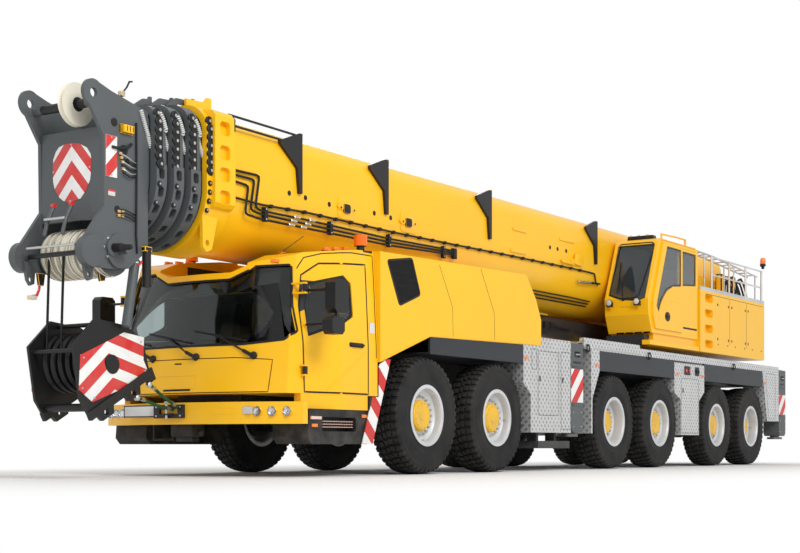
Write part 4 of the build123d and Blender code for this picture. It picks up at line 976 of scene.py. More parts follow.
def hang_wheel(number, side):
    node = f"wheel_{number}_{side}"
    low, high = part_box(node)
    sign = 1 if side == "left" else -1
    turn = Matrix.Rotation(0.0 if side == "left" else math.pi, 4, "Z")
    spin = Matrix.Rotation(math.pi / 2 * (number % 4), 4, "Y")
    place = Matrix.Translation((AXLE_X[number - 1], sign * WHEEL_Y, TYRE_RADIUS)) @ turn @ spin
    rim_pattern = rim_patterns[DRIVEN[number - 1]]
    for kind, mesh, slot in (("tyre", tyre_pattern, "tyre_rubber"),
                             ("rim", rim_pattern, "chrome_rod")):
        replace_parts(hang(f"{kind}_{number}_{side}", mesh, node, place), node)
    return high.z - low.z


heights = [hang_wheel(number, side) for number in range(1, 7) for side in ("left", "right")]
print("wheels", len(heights), "height", round(heights[0], 3))

# %% [markdown]
# The front of a driver's cab is one wide bonded screen. A black printed border hides the glue,
# widest at the top as a sun band, and a rubber lip closes the gap to the painted shell. The border
# is a thin ring between two outlines that are laid on the CAD glass, and the lip is a strip along
# the opening. Both follow the glass where it wraps round the corners.

# %% Windscreen border and rubber lip
SCREEN_HALF = [(0.44, 2.10), (0.64, 2.19), (0.69, 2.23), (1.075, 2.24), (1.215, 1.52),
               (1.15, 1.44), (0.70, 1.40)]
BORDER_HALF = [(0.40, 1.95), (0.60, 1.98), (0.69, 2.01), (0.97, 2.05), (1.075, 1.57),
               (1.03, 1.51), (0.70, 1.46)]
cab_skin = skin_of("cab_shell", "cab_glass")
screen_skin = skin_of("cab_glass")
screen_outline, border_inner = (half + mirrored(half[::-1]) for half in (SCREEN_HALF, BORDER_HALF))

front_trim = Workpiece()
front_trim.ring(*(trace(screen_skin, outline, AHEAD, closed=True, parts=6)
                  for outline in (shrunk(screen_outline, 0.992), border_inner)), 0.0015, 0)
lip = rounded(shrunk(screen_outline, 1.006), 0.03)
front_trim.seam(cab_skin, lip, AHEAD, 0.026, 0.006, 1, closed=True, step=0.04)
front_trim.hang("windscreen_border", "carrier", "dark_trim", gloss_black, seal_rubber)
print("border corners", len(screen_outline))

# %% [markdown]
# Three wipers park along the lower edge of the screen, all leaning the same way. Each has a domed
# cap on its spindle, a tapering arm with a spring box, and a blade that lies on the glass. The
# blade's line is laid on the glass like the border, then lifted by the height of its rubber.

# %% Wipers
WIPERS = (0.845, 0.146, -0.500)
wipers = Workpiece()
for y in WIPERS:
    foot, _ = land(cab_skin, AHEAD, y, 1.275)
    wipers.turn(foot, "x", [(0.042, 0.0), (0.042, 0.018), (0.030, 0.040), (0.0, 0.046)], 0, 20)
    blade = trace(screen_skin, [(y - 0.78, 1.560), (y - 0.10, 1.430)], AHEAD, lift=0.004)
    middle, _ = blade[len(blade) // 2]
    elbow = foot + Vector((0.035, -0.12, 0.055))
    wipers.pipe([foot + Vector((0.035, 0.03, -0.014)), elbow], 0.020, 0, 8)
    wipers.pipe([elbow, middle + Vector((0.030, 0, 0))], 0.010, 0, 8)
    wipers.ribbon(blade, 0.020, 0.014, 1)
    spine = [(y - 0.70, 1.5447), (y - 0.18, 1.4453)]
    wipers.seam(screen_skin, spine, AHEAD, 0.010, 0.012, 0, lift=0.018)
    wipers.block(middle + Vector((0.0155, 0, 0)), (0.0205, 0.02, 0.012), 0)
wipers.hang("wipers", "carrier", "dark_trim", black_plastic, seal_rubber)
print("wipers", len(WIPERS))

# %% [markdown]
# Panels of a cab are pressed sheet, and the eye reads them by their joints: the dark line round the
# nose flap, the grip slots, the shallow field above the bumper and the rubber round the doors. They
# are strips about as wide as the real joints, a millimetre or two proud.

# %% Joints of the cab
FLAP = [(-1.026, 0.892), (1.026, 0.892), (1.048, 1.230), (0.642, 1.257), (-0.642, 1.257),
        (-1.048, 1.230)]
FIELD = rect(-0.40, 0.185, 0.945, 1.080, 0.03)
GRIP_SLOTS = (([(-0.145, 1.208), (-0.045, 1.208)], 0.018), ([(-0.28, 0.925), (0.11, 0.925)], 0.024))
ROOF_EDGE = [(6.16, 2.20), (6.06, 2.325), (5.85, 2.385), (5.45, 2.430), (5.045, 2.438),
             (5.040, 1.30)]
DOOR_LINE = [(5.194, 0.894), (5.194, 2.327), (5.902, 2.277), (6.125, 2.135), (6.206, 1.80),
             (6.206, 0.894)]
shell_skin = skin_of("cab_shell")
joints = Workpiece()
joints.seam(cab_skin, FLAP, AHEAD, 0.010, 0.0015, 0, closed=True)
joints.seam(cab_skin, FIELD, AHEAD, 0.010, 0.003, 1, closed=True)
for line, width in GRIP_SLOTS:
    joints.seam(cab_skin, line, AHEAD, width, 0.002, 0, step=0.02)
for side in LEFT_RIGHT:
    joints.seam(shell_skin, ROOF_EDGE, beside(side), 0.014, 0.002, 0)
    joints.seam(shell_skin, DOOR_LINE, beside(side), 0.016, 0.0015, 0, closed=True)
joints.hang("cab_joints", "carrier", "dark_trim", seal_rubber, yellow)
print("cab joints", 2 + len(GRIP_SLOTS) + 2 * len(LEFT_RIGHT))

# %% [markdown]
# Lamps along the roof, marker lamps and an aerial sit on the shell with small feet. Each finds the
# height of the roof by a ray from above, so it never floats.

# %% Roof lamps, markers and aerial
ROOF_LAMPS = ((5.64, 1.14), (5.46, 1.14), (5.28, 1.14))


def roof_height(x, y):
    return land(shell_skin, ("z", 5.0), x, y)[0].z


roof = Workpiece()
for side in LEFT_RIGHT:
    for x, y in ROOF_LAMPS:
        level = roof_height(x, side * y)
        roof.block((x, side * y, level + 0.004), (0.062, 0.026, 0.008), 1)
        roof.block((x, side * y, level + 0.028), (0.056, 0.021, 0.018), 0, 0.010)
    marker = [(side * 0.875, 2.290), (side * 0.955, 2.280)]
    roof.seam(cab_skin, marker, AHEAD, 0.040, 0.016, 0, step=0.02)
level = roof_height(5.98, 0.80)
roof.block((5.98, 0.80, level + 0.009), (0.04, 0.025, 0.013), 1, 0.008)
roof.pipe([(5.985, 0.80, level + 0.015), (5.94, 0.80, level + 0.05), (5.60, 0.80, level + 0.24)],
          0.004, 1, 6)
roof.hang("roof_lamps", "carrier", "dark_trim", amber, black_plastic)
print("roof lamps", 2 * len(ROOF_LAMPS))

# %% [markdown]
# A cab door shows a rubber window channel, a pull handle in a dark dish, and a raised crease that
# stiffens its flat lower half. The same three are made for each door and ride on it, so they swing
# with it.

# %% Dressing of the doors
DOOR_PANE = [(5.480, 2.090), (5.460, 1.730), (5.600, 1.660), (6.130, 1.480), (6.140, 1.800),
             (6.060, 2.060), (5.620, 2.170)]
CREASE = [(5.905, 0.925), (5.262, 1.352)]
GRIP_Z = 1.424
INSIDE_MIRROR = 1.5
for side, door in ((1, "cab_door_left"), (-1, "cab_door_right")):
    view = beside(side, INSIDE_MIRROR)
    skin = skin_of(door)
    glass_skin = skin_of(door.replace("door", "door_glass"))
    fit = Workpiece()
    channel = rounded(shrunk(DOOR_PANE, 0.965), 0.05)
    fit.seam(glass_skin, channel, view, 0.034, 0.006, 0, closed=True)
    fit.seam(skin, CREASE, view, 0.018, 0.005, 1)
    face = side * land(skin, view, 5.42, GRIP_Z)[0].y
    dish = rect(5.285, 5.555, 1.400, 1.450, 0.02)
    fit.slab(dish, "y", *span(side, face - 0.002, face + 0.004), 0, 0.001)
    handle = ((5.535, face), (5.510, face + 0.035), (5.330, face + 0.035), (5.305, face))
    fit.pipe([(x, side * y, GRIP_Z) for x, y in handle], 0.011, 2)
    fit.hang(f"{door}_dressing", door, "dark_trim", seal_rubber, yellow, black_plastic)
print("doors dressed", 2)

# %% [markdown]
# Bumper lamps are deep reflector bowls behind clear glass. A bowl turned from bright metal inside
# the CAD's round recess, and a bulb and a clear cap over it, reflect the sky as the real ones do.
# Each finds the bottom of its recess by a ray.

# %% Bumper lamps
LAMP_Z = 0.690
bumper_skin = skin_of("front_bumper")
bowls = Workpiece()
caps = Workpiece()
for y in (0.95, 1.10, 1.25, -0.95, -1.10, -1.25):
    bottom, _ = land(bumper_skin, AHEAD, y, LAMP_Z)
    rim_at, _ = land(bumper_skin, AHEAD, y - math.copysign(0.060, y), LAMP_Z)
    depth = max(0.012, rim_at.x - bottom.x)
    bowls.turn(bottom, "x", [(0.0, 0.001), (0.030, 0.004), (0.043, depth - 0.004),
                             (0.048, depth + 0.004), (0.0515, depth + 0.004), (0.0515, 0.001),
                             (0.0, 0.0005)], 0, 28)
    bowls.turn(bottom, "x", [(0.010, 0.003), (0.009, depth * 0.6), (0.0, depth * 0.65)], 1, 12)
    caps.turn(bottom, "x", [(0.046, depth - 0.002), (0.044, depth + 0.004), (0.025, depth + 0.009),
                            (0.0, depth + 0.011)], 0, 28)
bowls.hang("bumper_lamp_bowls", "carrier", "chrome_rod", chrome, lens_clear)
caps.hang("bumper_lamp_glasses", "carrier", "window_glass", lens_clear)
print("bumper lamps", 6)

# %% [markdown]
# The number plate stays an empty frame with a white sheet, and the small signs beside the lamps and
# behind the door are empty pale plates. Below the bumper sit the tow jaw with its pin, two guards
# and a bracket.

# %% Blank plates and tow gear
plates = Workpiece()


def plate_on(skin, outline, proud, finish, view=AHEAD):
    """A blank plate with softened corners, standing on a skin where that is highest."""
    level = proudest(skin, outline, view, closed=True)
    plates.slab(rounded(outline, 0.010), view[0], level - 0.004, level + proud, finish, 0.001)


plate_on(bumper_skin, rect(-0.815, -0.350, 0.640, 0.770), 0.006, 0)
plate_on(bumper_skin, rect(-0.800, -0.365, 0.652, 0.758), 0.010, 1)
plate_on(bumper_skin, rect(0.785, 0.915, 0.662, 0.740), 0.004, 1)
plate_on(shell_skin, rect(5.065, 5.165, 1.570, 1.690), 0.003, 1, beside(1))
plates.hang("blank_plates", "carrier", "dark_trim", black_plastic, plate_white)

PIN_X = 6.795
PIN_Y = -0.12
under = Workpiece()
field = rect(0.44, 0.74, 0.663, 0.727, 0.012)
under.seam(bumper_skin, field, AHEAD, 0.006, 0.002, 1, closed=True)
under.pipe([(6.52, -0.55, 0.60), (6.52, -0.55, 0.40), (6.52, -0.27, 0.40), (6.52, -0.27, 0.60)],
           0.014)
under.box((6.40, 6.60), (-0.24, 0.07), (0.43, 0.565), 0, 0.012)
under.box((6.44, 6.56), (-0.20, 0.03), (0.375, 0.435), 0, 0.012)
under.bar((6.50, -0.30, 0.47), (6.50, 0.13, 0.47), 0.026)
for y in (-0.29, 0.05):
    for z in (0.650, 0.745):
        under.bolt((6.768, y, z), "x", 0.011, 2)
under.bar((PIN_X, PIN_Y, 0.615), (PIN_X, PIN_Y, 0.785), 0.015, 2)
under.turn((PIN_X, PIN_Y, 0.790), "z", [(0.0, 0.0), (0.024, 0.0), (0.024, 0.012), (0.0, 0.014)], 2,
           16)
for level in (0.725, 0.665):
    under.block((6.7875, PIN_Y, level), (0.0225, 0.07, 0.010), 0)
under.hang("tow_gear", "carrier", "chassis_paint", frame_black, yellow, zinc)
print("bumper dressed")

# %% [markdown]
# The step box behind the front wheel's edge carries marker lamps. The tread inside its recess is
# a row of punched bars. Amber side markers also sit along the lockers at the legal spacing.

# %% Side markers and steps
SIDE_MARKERS = (1.612, -0.495, -3.424, -4.490, -7.52)
MARKER_Z = 1.480
# Low and high x, level and finish of the small lamps on the step box
STEP_LAMPS = ((6.05, 6.24, 0.625, 1), (6.12, 6.22, 0.545, 0), (5.215, 5.31, 0.655, 0))
markers = Workpiece()
for side in LEFT_RIGHT:
    for x in SIDE_MARKERS:
        markers.block((x, side * 1.4255, MARKER_Z), (0.045, 0.0065, 0.018), 0, 0.006)
    for low, high, level, finish in STEP_LAMPS:
        markers.box((low, high), span(side, 1.369, 1.384), (level - 0.018, level + 0.018), finish,
                    0.005)
    for level in (0.53, 0.56, 0.59):
        tread = (level - 0.004, level + 0.004)
        markers.box((5.44, 6.00), span(side, 1.239, 1.352), tread, 2, 0.001)
        for x in (5.47 + number * 0.046 for number in range(12)):
            tooth = (level - 0.004, level + 0.010)
            markers.box((x - 0.006, x + 0.006), span(side, 1.345, 1.356), tooth, 2, 0.001)
markers.hang("side_markers", "carrier", "dark_trim", amber, plate_white, zinc)
print("side markers", 2 * len(SIDE_MARKERS))

# %% [markdown]
# The engine hood lifts off in three sections. Two leaning joints divide its sides, a drip rail runs
# along its lower edge, and the intake in front is a black mesh in a thin frame. The mesh is real
# here: a sheet of little slanted louvres would blur, so crossing wires are set into the opening.

# %% Hood joints and intake mesh
HOOD_JOINTS = ([(3.800, 2.515), (3.470, 1.990), (3.455, 1.640)],
               [(2.800, 2.520), (2.465, 2.000), (2.450, 1.650)])
DRIP_RAIL = [(4.93, 1.300), (3.975, 1.622), (1.225, 1.676)]
INTAKE = [(4.860, 2.400), (4.370, 2.470), (4.200, 2.080), (4.620, 1.930)]
MESH_PITCH = 0.028
hood_skin = skin_of("engine_hood")
hood = Workpiece()


def mesh_wire(slope, start):
    """Where a slanted line crosses the edges of the intake."""
    ends = []
    for (x0, z0), (x1, z1) in zip(INTAKE, INTAKE[1:] + INTAKE[:1]):
        first = (x0 - 4.5) * slope - (z0 - 2.2) - start
        second = (x1 - 4.5) * slope - (z1 - 2.2) - start
        if first * second < 0:
            share = first / (first - second)
            ends.append((x0 + (x1 - x0) * share, z0 + (z1 - z0) * share))
    return ends if len(ends) == 2 and math.dist(*ends) > 0.03 else []


for side in LEFT_RIGHT:
    for line in HOOD_JOINTS:
        hood.seam(hood_skin, line, beside(side), 0.008, 0.0012, 0)
    hood.seam(hood_skin, DRIP_RAIL, beside(side), 0.020, 0.006, 1)
    frame_line = rounded(shrunk(INTAKE, 1.03), 0.04)
    hood.ribbon([(Vector((x, side * 1.4195, z)), OUT[side]) for x, z in frame_line],
                0.026, 0.005, 0, closed=True)
    for slope in (1, -1):
        level = side * (1.4175 + 0.001 * slope)
        for number in range(-30, 31):
            ends = mesh_wire(slope, number * MESH_PITCH)
            if ends:
                hood.pipe([(x, level, z) for x, z in ends], 0.0035, 0, 4)
hood.hang("hood_joints", "carrier", "dark_trim", black_plastic, yellow)
print("hood joints", 2 * len(HOOD_JOINTS))

# %% [markdown]
# Lockers are aluminium boxes with flush doors. Their joints, a recessed lever lock, the two dark
# sockets for hose couplings, and a lashing eye on the deck edge break up the bright plate.

# %% Locker doors
LOCKER_LINES = (
    [(1.290, 0.740), (1.290, 1.590), (0.700, 1.590), (0.700, 0.740)],
    [(0.630, 0.560), (0.630, 1.610), (0.345, 1.610), (0.345, 0.560)],
    [(1.470, 1.610), (1.330, 1.610), (1.330, 1.340), (1.470, 1.340)],
    [(-3.575, 0.540), (-3.575, 1.420), (-4.300, 1.420), (-4.300, 0.540)],
    [(-7.700, 0.830), (-7.580, 1.400), (-7.560, 1.660), (-8.060, 1.660), (-8.060, 0.830)],
)
LOCKS = (1.245, 0.585, -3.64)
# Low and high x of each coupling panel, and the finish of its two couplings
COUPLINGS = ((-3.95, -3.70, 3), (-4.33, -4.15, 2))
EYES = (-0.173, -2.3, -5.9)
SKIRT_Y = 1.4195
locker_skin = skin_of("deck_and_lockers")
lockers = Workpiece()
for side in LEFT_RIGHT:
    for outline in LOCKER_LINES:
        line = rounded(outline, 0.03)
        lockers.seam(locker_skin, line, beside(side), 0.007, 0.0012, 0, closed=True, step=0.2)
    for x in LOCKS:
        dish = rect(x - 0.024, x + 0.024, 1.18, 1.27, 0.012)
        lockers.slab(dish, "y", *span(side, SKIRT_Y, SKIRT_Y + 0.003), 1, 0.0008)
        lockers.box((x - 0.008, x + 0.008), span(side, 1.422, 1.430), (1.19, 1.26), 0, 0.003)
    for low, high, finish in COUPLINGS:
        panel = rect(low, high, 1.475, 1.620, 0.015)
        lockers.slab(panel, "y", *span(side, SKIRT_Y, SKIRT_Y + 0.004), 0, 0.0008)
        for x in (low + 0.055, high - 0.055):
            lockers.turn((x, side * 1.423, 1.545), OUT[side],
                         [(0.030, 0.0), (0.030, 0.016), (0.018, 0.020), (0.0, 0.014)], finish, 16)
    for x in EYES:
        eye = around((x, side * 1.436, 1.700), 0.045, 16)
        lockers.pipe(eye + eye[:1], 0.009, 0, 8)
        lockers.block((x, side * 1.4325, 1.749), (0.018, 0.0135, 0.011), 0, 0.004)
    lockers.seam(locker_skin, [(-0.365, 1.715), (-2.016, 1.715)], beside(side), 0.030, 0.003, 1,
                 step=0.4)
lockers.hang("locker_doors", "carrier", "tread_plate", black_plastic, zinc, black_plastic, red_lens)
print("locker doors", 2 * len(LOCKER_LINES))

# %% [markdown]
# An outrigger's upright box ends in a striped board, with a slot for its latch above and a handle.
# The stripes are masked into the beam's own paint further down. Here come the two edges of the
# board, the slot, the handle and the bolts of the jack's flange. They ride on the beam, which
# slides out with them.

# %% Outrigger ends
BEAM_ENDS = {"front_left": (0.139, 1), "front_right": (0.486, -1),
             "rear_left": (-8.450, 1), "rear_right": (-8.103, -1)}
END_Y = 1.420
FLANGE_CIRCLE = 0.125
for place, (x, side) in BEAM_ENDS.items():
    end = Workpiece()
    slot = rect(x - 0.115, x + 0.115, 1.475, 1.500)
    end.slab(slot, "y", *span(side, END_Y - 0.001, END_Y + 0.003), 0, 0.0005)
    for low, high in ((0.885, 0.915), (1.415, 1.435)):
        end.box((x - 0.150, x + 0.150), span(side, END_Y - 0.002, END_Y + 0.008), (low, high), 1)
    handle = ((-0.06, 0.0), (-0.06, 0.010), (0.06, 0.010), (0.06, 0.0))
    end.pipe([(x + off, side * (END_Y + out), 1.60) for off, out in handle], 0.006, 2, 8)
    for a in angles(8, 0.5):
        end.bolt((x + FLANGE_CIRCLE * math.cos(a),
                  side * (END_Y - 0.150) + FLANGE_CIRCLE * math.sin(a),
                  1.749), "z", 0.012, 2)
    for level in (0.60, 0.80):
        for off in (-0.12, 0.12):
            end.bolt((x + off, side * (END_Y - 0.001), level), OUT[side], 0.010, 2)
    end.hang(f"outrigger_end_{place}", f"outrigger_beam_{place}", "grey_paint",
             black_plastic, boom_grey, zinc)
print("outrigger ends", len(BEAM_ENDS))

# %% [markdown]
# At the tail, the lamp bar of the carrier carries the usual cluster of red, amber and clear lenses
# on each side, with a blank plate between them. Nothing of it shows in the photograph, so it
# follows what every road crane has.

# %% Tail lamps
LENSES = (0, 0, 1, 2)
tail_lamps = Workpiece()
for side in LEFT_RIGHT:
    for number, finish in enumerate(LENSES):
        centre = (-8.560, side * (0.98 - number * 0.105), 0.840)
        tail_lamps.turn(centre, (-1, 0, 0), [(0.046, -0.002), (0.046, 0.010), (0.040, 0.012)], 3,
                        24)
        tail_lamps.turn(centre, (-1, 0, 0),
                        [(0.040, 0.008), (0.036, 0.016), (0.018, 0.021), (0.0, 0.022)],
                        finish, 24)
tail_lamps.slab(rect(-0.26, 0.26, 0.800, 0.880, 0.01), "x", -8.566, -8.558, 4, 0.001)
tail_lamps.hang("tail_lamps", "carrier", "dark_trim",
                red_lens, amber, lens_clear, black_plastic, plate_white)
print("tail lamps", 2 * len(LENSES))

# %% [markdown]
# Hydraulic lines and a cable run along the boom's side, where a mechanic can reach them. Steel
# lines are bent cold, so every corner is a small curve. They are held by black blocks and broken by
# bright couplings, and the cable is clipped to the boom every thirty centimetres.

# %% Lines along the boom
BOOM_Y = 0.598
LINE_Y = 0.624
STEEL_LINES = (
    [(6.549, 3.228), (6.149, 3.231), (6.217, 2.878), (6.115, 2.860), (5.405, 2.866), (3.637, 2.853),
     (2.385, 2.873), (2.15, 2.870)],
    [(6.549, 3.179), (6.234, 3.175), (6.301, 2.845), (6.149, 2.823), (4.836, 2.814), (3.637, 2.812),
     (2.15, 2.850)],
    [(6.549, 3.110), (6.334, 3.096), (6.391, 2.791), (6.149, 2.769), (4.836, 2.772), (3.637, 2.772),
     (2.15, 2.822)],
)
CABLE = [(6.549, 2.938), (6.115, 2.924), (5.294, 2.948), (4.439, 2.945), (3.505, 2.942),
         (2.237, 2.955), (0.752, 2.975), (-1.308, 2.993), (-1.90, 2.992)]
CABLE_END = [(-1.88, 2.992), (-2.06, 2.990), (-2.10, 2.86), (-2.16, 2.82)]
REAR_LINES = ([(-0.164, 2.600), (-1.442, 2.600), (-2.20, 2.590)],
              [(-0.164, 2.560), (-2.20, 2.555)], [(-0.164, 2.520), (-2.20, 2.520)])
CLAMPS = (6.05, 4.856, 3.646, 2.385)
UNIONS = ((5.22, 2.870), (5.30, 2.818), (5.38, 2.771), (5.50, 2.868), (5.56, 2.820), (5.60, 2.771))
boom_skin = skin_of("boom_base")
boom_lines = Workpiece()


def along_boom(line, reach, radius, steps, proud=0.0):
    points = [(x, LINE_Y + proud, z) for x, z in line]
    boom_lines.hose(points, reach, radius, 0, steps)


for line in STEEL_LINES:
    along_boom(line, 0.045, 0.0125, 10)
along_boom(CABLE, 0.045, 0.012, 10, 0.004)
along_boom(CABLE_END, 0.03, 0.012, 8)
for x in (5.95 - number * 0.30 for number in range(26)):
    level = next(z0 + (z1 - z0) * (x - x0) / (x1 - x0)
                 for (x0, z0), (x1, z1) in zip(CABLE, CABLE[1:]) if x1 <= x <= x0)
    boom_lines.box((x - 0.022, x + 0.022), (BOOM_Y, LINE_Y + 0.020), (level - 0.019, level + 0.019))
for x in CLAMPS:
    boom_lines.box((x - 0.030, x + 0.030), (BOOM_Y, 0.642), (2.750, 2.905), 0, 0.005)
    for level in (2.775, 2.885):
        boom_lines.bolt((x, 0.641, level), "y", 0.009, 1)
boom_lines.box((2.08, 2.16), (BOOM_Y, 0.646), (2.770, 2.905), 0, 0.005)
for x, level in UNIONS:
    boom_lines.bar((x - 0.045, LINE_Y, level), (x + 0.045, LINE_Y, level), 0.021, 1, 6)
    boom_lines.bar((x - 0.062, LINE_Y, level), (x - 0.045, LINE_Y, level), 0.017, 1, 12)
for line in REAR_LINES:
    found = trace(boom_skin, line, beside(1), lift=0.020, step=0.7)
    boom_lines.pipe([place for place, _ in found], 0.0115, 0, 8)
boom_lines.bar((-1.50, LINE_Y, 2.815), (-1.92, LINE_Y, 2.835), 0.021, 1, 8)
boom_lines.bar((-1.92, LINE_Y, 2.835), (-2.24, LINE_Y, 2.850), 0.016, 0, 8)
boom_lines.hang("boom_lines", "boom_base", "dark_trim", seal_rubber, zinc)
print("lines", len(STEEL_LINES) + len(REAR_LINES) + 1)

# %% [markdown]
# Reinforcing pads with an oblong hole show where the telescope is pinned, and small black plugs
# close the holes between them. Flat lugs and a weld seam along the side complete the base section.

# %% Pads on the boom
PADS = ((4.459, 4.592, 3.042, 3.150), (3.137, 3.273, 3.050, 3.158))
PLUGS = ((-0.62, 3.235), (-0.86, 3.238), (-1.14, 3.240), (5.598, 3.126), (5.301, 3.117),
         (4.848, 3.106), (3.932, 3.127), (3.577, 3.118))
LUGS = ((0.107, 0.517, 3.350, 3.390), (0.107, 0.574, 3.040, 3.090),
        (-1.408, -0.915, 3.375, 3.420), (-1.375, -0.947, 3.050, 3.095))
# Low and high x, low and high z, finish, how proud, corner radius: a box with a keyhole in it
KEYHOLE = ((-1.680, -1.375, 3.060, 3.235, 0, 0.008, 0.08),
           (-1.560, -1.500, 3.085, 3.150, 1, 0.009, 0.02),
           (-1.575, -1.485, 3.135, 3.200, 1, 0.009, 0.04))
WELD = [(6.50, 2.965), (5.9, 3.010), (1.0, 3.030), (-1.7, 3.040)]
fittings = Workpiece()


def on_boom(side, low_x, high_x, low_z, high_z, finish, proud, radius=0.02):
    outline = rect(low_x, high_x, low_z, high_z, radius)
    level = proudest(boom_skin, outline, beside(side), parts=1)
    fittings.slab(outline, "y", *span(side, level - 0.004, level + proud), finish,
                  min(0.002, proud / 3))
    return level


for side in LEFT_RIGHT:
    for low_x, high_x, low_z, high_z in PADS:
        on_boom(side, low_x - 0.135, high_x + 0.095, low_z - 0.070, high_z + 0.075, 0, 0.008, 0.07)
        top = on_boom(side, low_x, high_x, low_z, high_z, 1, 0.0088, 0.035)
        for x in (low_x - 0.075, high_x + 0.055):
            fittings.turn((x, side * (top + 0.007), (low_z + high_z) / 2), OUT[side],
                          [(0.013, 0.0), (0.012, 0.0022), (0.0, 0.0022)], 1, 16)
    for pad in KEYHOLE:
        on_boom(side, *pad)
    for x, z in PLUGS:
        fittings.turn((x, side * BOOM_Y, z), OUT[side],
                      [(0.030, 0.0), (0.030, 0.005), (0.022, 0.007), (0.0, 0.007)], 1, 20)
    for lug in LUGS:
        on_boom(side, *lug, 0, 0.014)
    fittings.seam(boom_skin, WELD, beside(side), 0.010, 0.0012, 0, step=0.5)
fittings.hang("boom_fittings", "boom_base", "yellow_paint", yellow, frame_black)
print("pads", 2 * len(PADS), "plugs", 2 * len(PLUGS))

# %% [markdown]
# Each section of the telescope slides in pads that are adjusted from outside. Their adjusters are
# rows of round lobes with a bolt in each, on a black strip round the front edge of the collar. A
# white packing rope lies on the section that comes out of it, as a row of small beads. Strip, lobes
# and rope are laid on the sections by rays.

# %% Slide pads of the telescope
SECTIONS = ("boom_base", "boom_section_2", "boom_section_3", "boom_section_4", "boom_head_section")
LOBE_ROW = 0.045
SCREW_ROW = 0.040
LOBE = [(0.050, 0.0), (0.050, 0.016), (0.042, 0.022), (0.0, 0.022)]
LOBE_BOLT = [(0.017, 0.0), (0.017, 0.012), (0.012, 0.014), (0.0, 0.014)]
SCREW_FOOT = [(0.030, 0.0), (0.030, 0.010), (0.0, 0.012)]
SCREW_HEAD = [(0.012, 0.0), (0.012, 0.010), (0.0, 0.010)]
BEAD = [(0.012, 0.0), (0.024, 0.005), (0.024, 0.014), (0.012, 0.019)]
ROPE = ((0.135, 3.640), (0.075, 3.500), (-0.020, 3.290))


def pad_row(part, skin, side, x, levels, pieces):
    """Turned pieces at every level where a ray finds the collar. Gives the places it found."""
    places_found = []
    for level in levels:
        found = land(skin, beside(side), x, level)
        if found:
            y = side * found[0].y
            places_found.append(Vector((x, side * y, level)))
            for off, profile, finish, steps in pieces:
                part.turn((x, side * (y + off), level), OUT[side], profile, finish, steps)
    return places_found


for number, (node, inner) in enumerate(zip(SECTIONS, SECTIONS[1:])):
    skin, guide = skin_of(node), skin_of(inner)
    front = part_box(node)[1].x
    part = Workpiece()
    for side in LEFT_RIGHT:
        levels = [3.66 - step * 0.085 - number * 0.008 for step in range(7)]
        lobes = pad_row(part, skin, side, front - LOBE_ROW, levels,
                        ((-0.004, LOBE, 0, 20), (0.018, LOBE_BOLT, 1, 10)))
        if lobes:
            strip = [(place - Vector((0.025, 0, 0)), OUT[side]) for place in lobes]
            part.ribbon(strip, 0.060, 0.014, 0)
        pad_row(part, skin, side, front - SCREW_ROW, (3.02, 2.93, 2.84, 2.75),
                ((-0.003, SCREW_FOOT, 0, 16), (0.007, SCREW_HEAD, 1, 8)))
        line = [(front + ahead, z) for ahead, z in ROPE]
        rope = [place for place, _ in trace(guide, line, beside(side), lift=0.012, step=0.02)]
        for first, second in zip(rope, rope[1:]):
            part.turn(first, second - first, BEAD, 2, 10)
    part.hang(f"slide_pads_{number + 1}", node, "dark_trim", black_paint, zinc, plate_white)
    print("collar front", node, round(front, 3))

# %% [markdown]
# The boom head faces the driver of the car in front, so it carries a shield of red and white
# chevrons and a striped strip on its cheek. Both are reflective sheet on thin plates.

# %% Marks on the boom head
SHIELD = [
    (0.012, 3.281), (0.120, 3.262), (0.216, 3.215), (0.265, 3.150), (0.276, 3.087), (0.273, 2.990),
    (0.259, 2.896), (0.205, 2.800), (0.131, 2.727), (-0.012, 2.699), (-0.100, 2.725),
    (-0.160, 2.767), (-0.220, 2.850), (-0.240, 2.920), (-0.247, 3.020), (-0.240, 3.143),
    (-0.205, 3.215), (-0.160, 3.257), (-0.080, 3.277)]
STRIP = rect(8.123, 8.275, 2.920, 3.320)
head_skin = skin_of("boom_head_section")
shield_front = proudest(head_skin, SHIELD, AHEAD, parts=1)
shield_sheet = reflective("shield_sheet", chevrons("z", "side", 0.015, 1.1, 0.28, 2.97))
strip_sheet = reflective("strip_sheet", bands((1.0, 0.0, 1.0), 0.30, 0.05))
marks = Workpiece()
marks.slab(SHIELD, "x", shield_front - 0.006, shield_front + 0.006, 0, 0.002)
for y, z in ((0.012, 3.262), (0.262, 3.02), (-0.232, 3.02), (0.0, 2.716)):
    marks.bolt((shield_front + 0.006, y, z), "x", 0.009, 2)
for side in LEFT_RIGHT:
    cheek = proudest(head_skin, STRIP, beside(side), parts=1)
    marks.slab(STRIP, "y", *span(side, cheek - 0.003, cheek + 0.005), 1, 0.0015)
    for z in (2.94, 3.30):
        marks.bolt((8.199, side * (cheek + 0.005), z), OUT[side], 0.008, 2)
marks.hang("head_marks", "boom_head_section", "dark_trim", shield_sheet, strip_sheet, zinc)
print("shield at", round(shield_front, 3), "cheek", round(cheek, 3))

# %% [markdown]
# The head's left cheek is where an electrician and a hydraulics fitter have been at work. It holds
# a yellow sensor box, cables in loose bends and a hub with a stub shaft. In front are the guards
# that keep the ropes on their sheaves, at the top a small anemometer. Each list below says what is
# made and where, with distances out from the cheek.

# %% Fittings on the boom head
HUB = (8.205, 2.235)
SHEAVES = (8.11, 2.215)
PULLEY = (8.370, 3.620)
head = Workpiece()


def on_cheek(points):
    """Places in x, distance from the cheek and z, as points in space."""
    return [(x, cheek + out, z) for x, out, z in points]


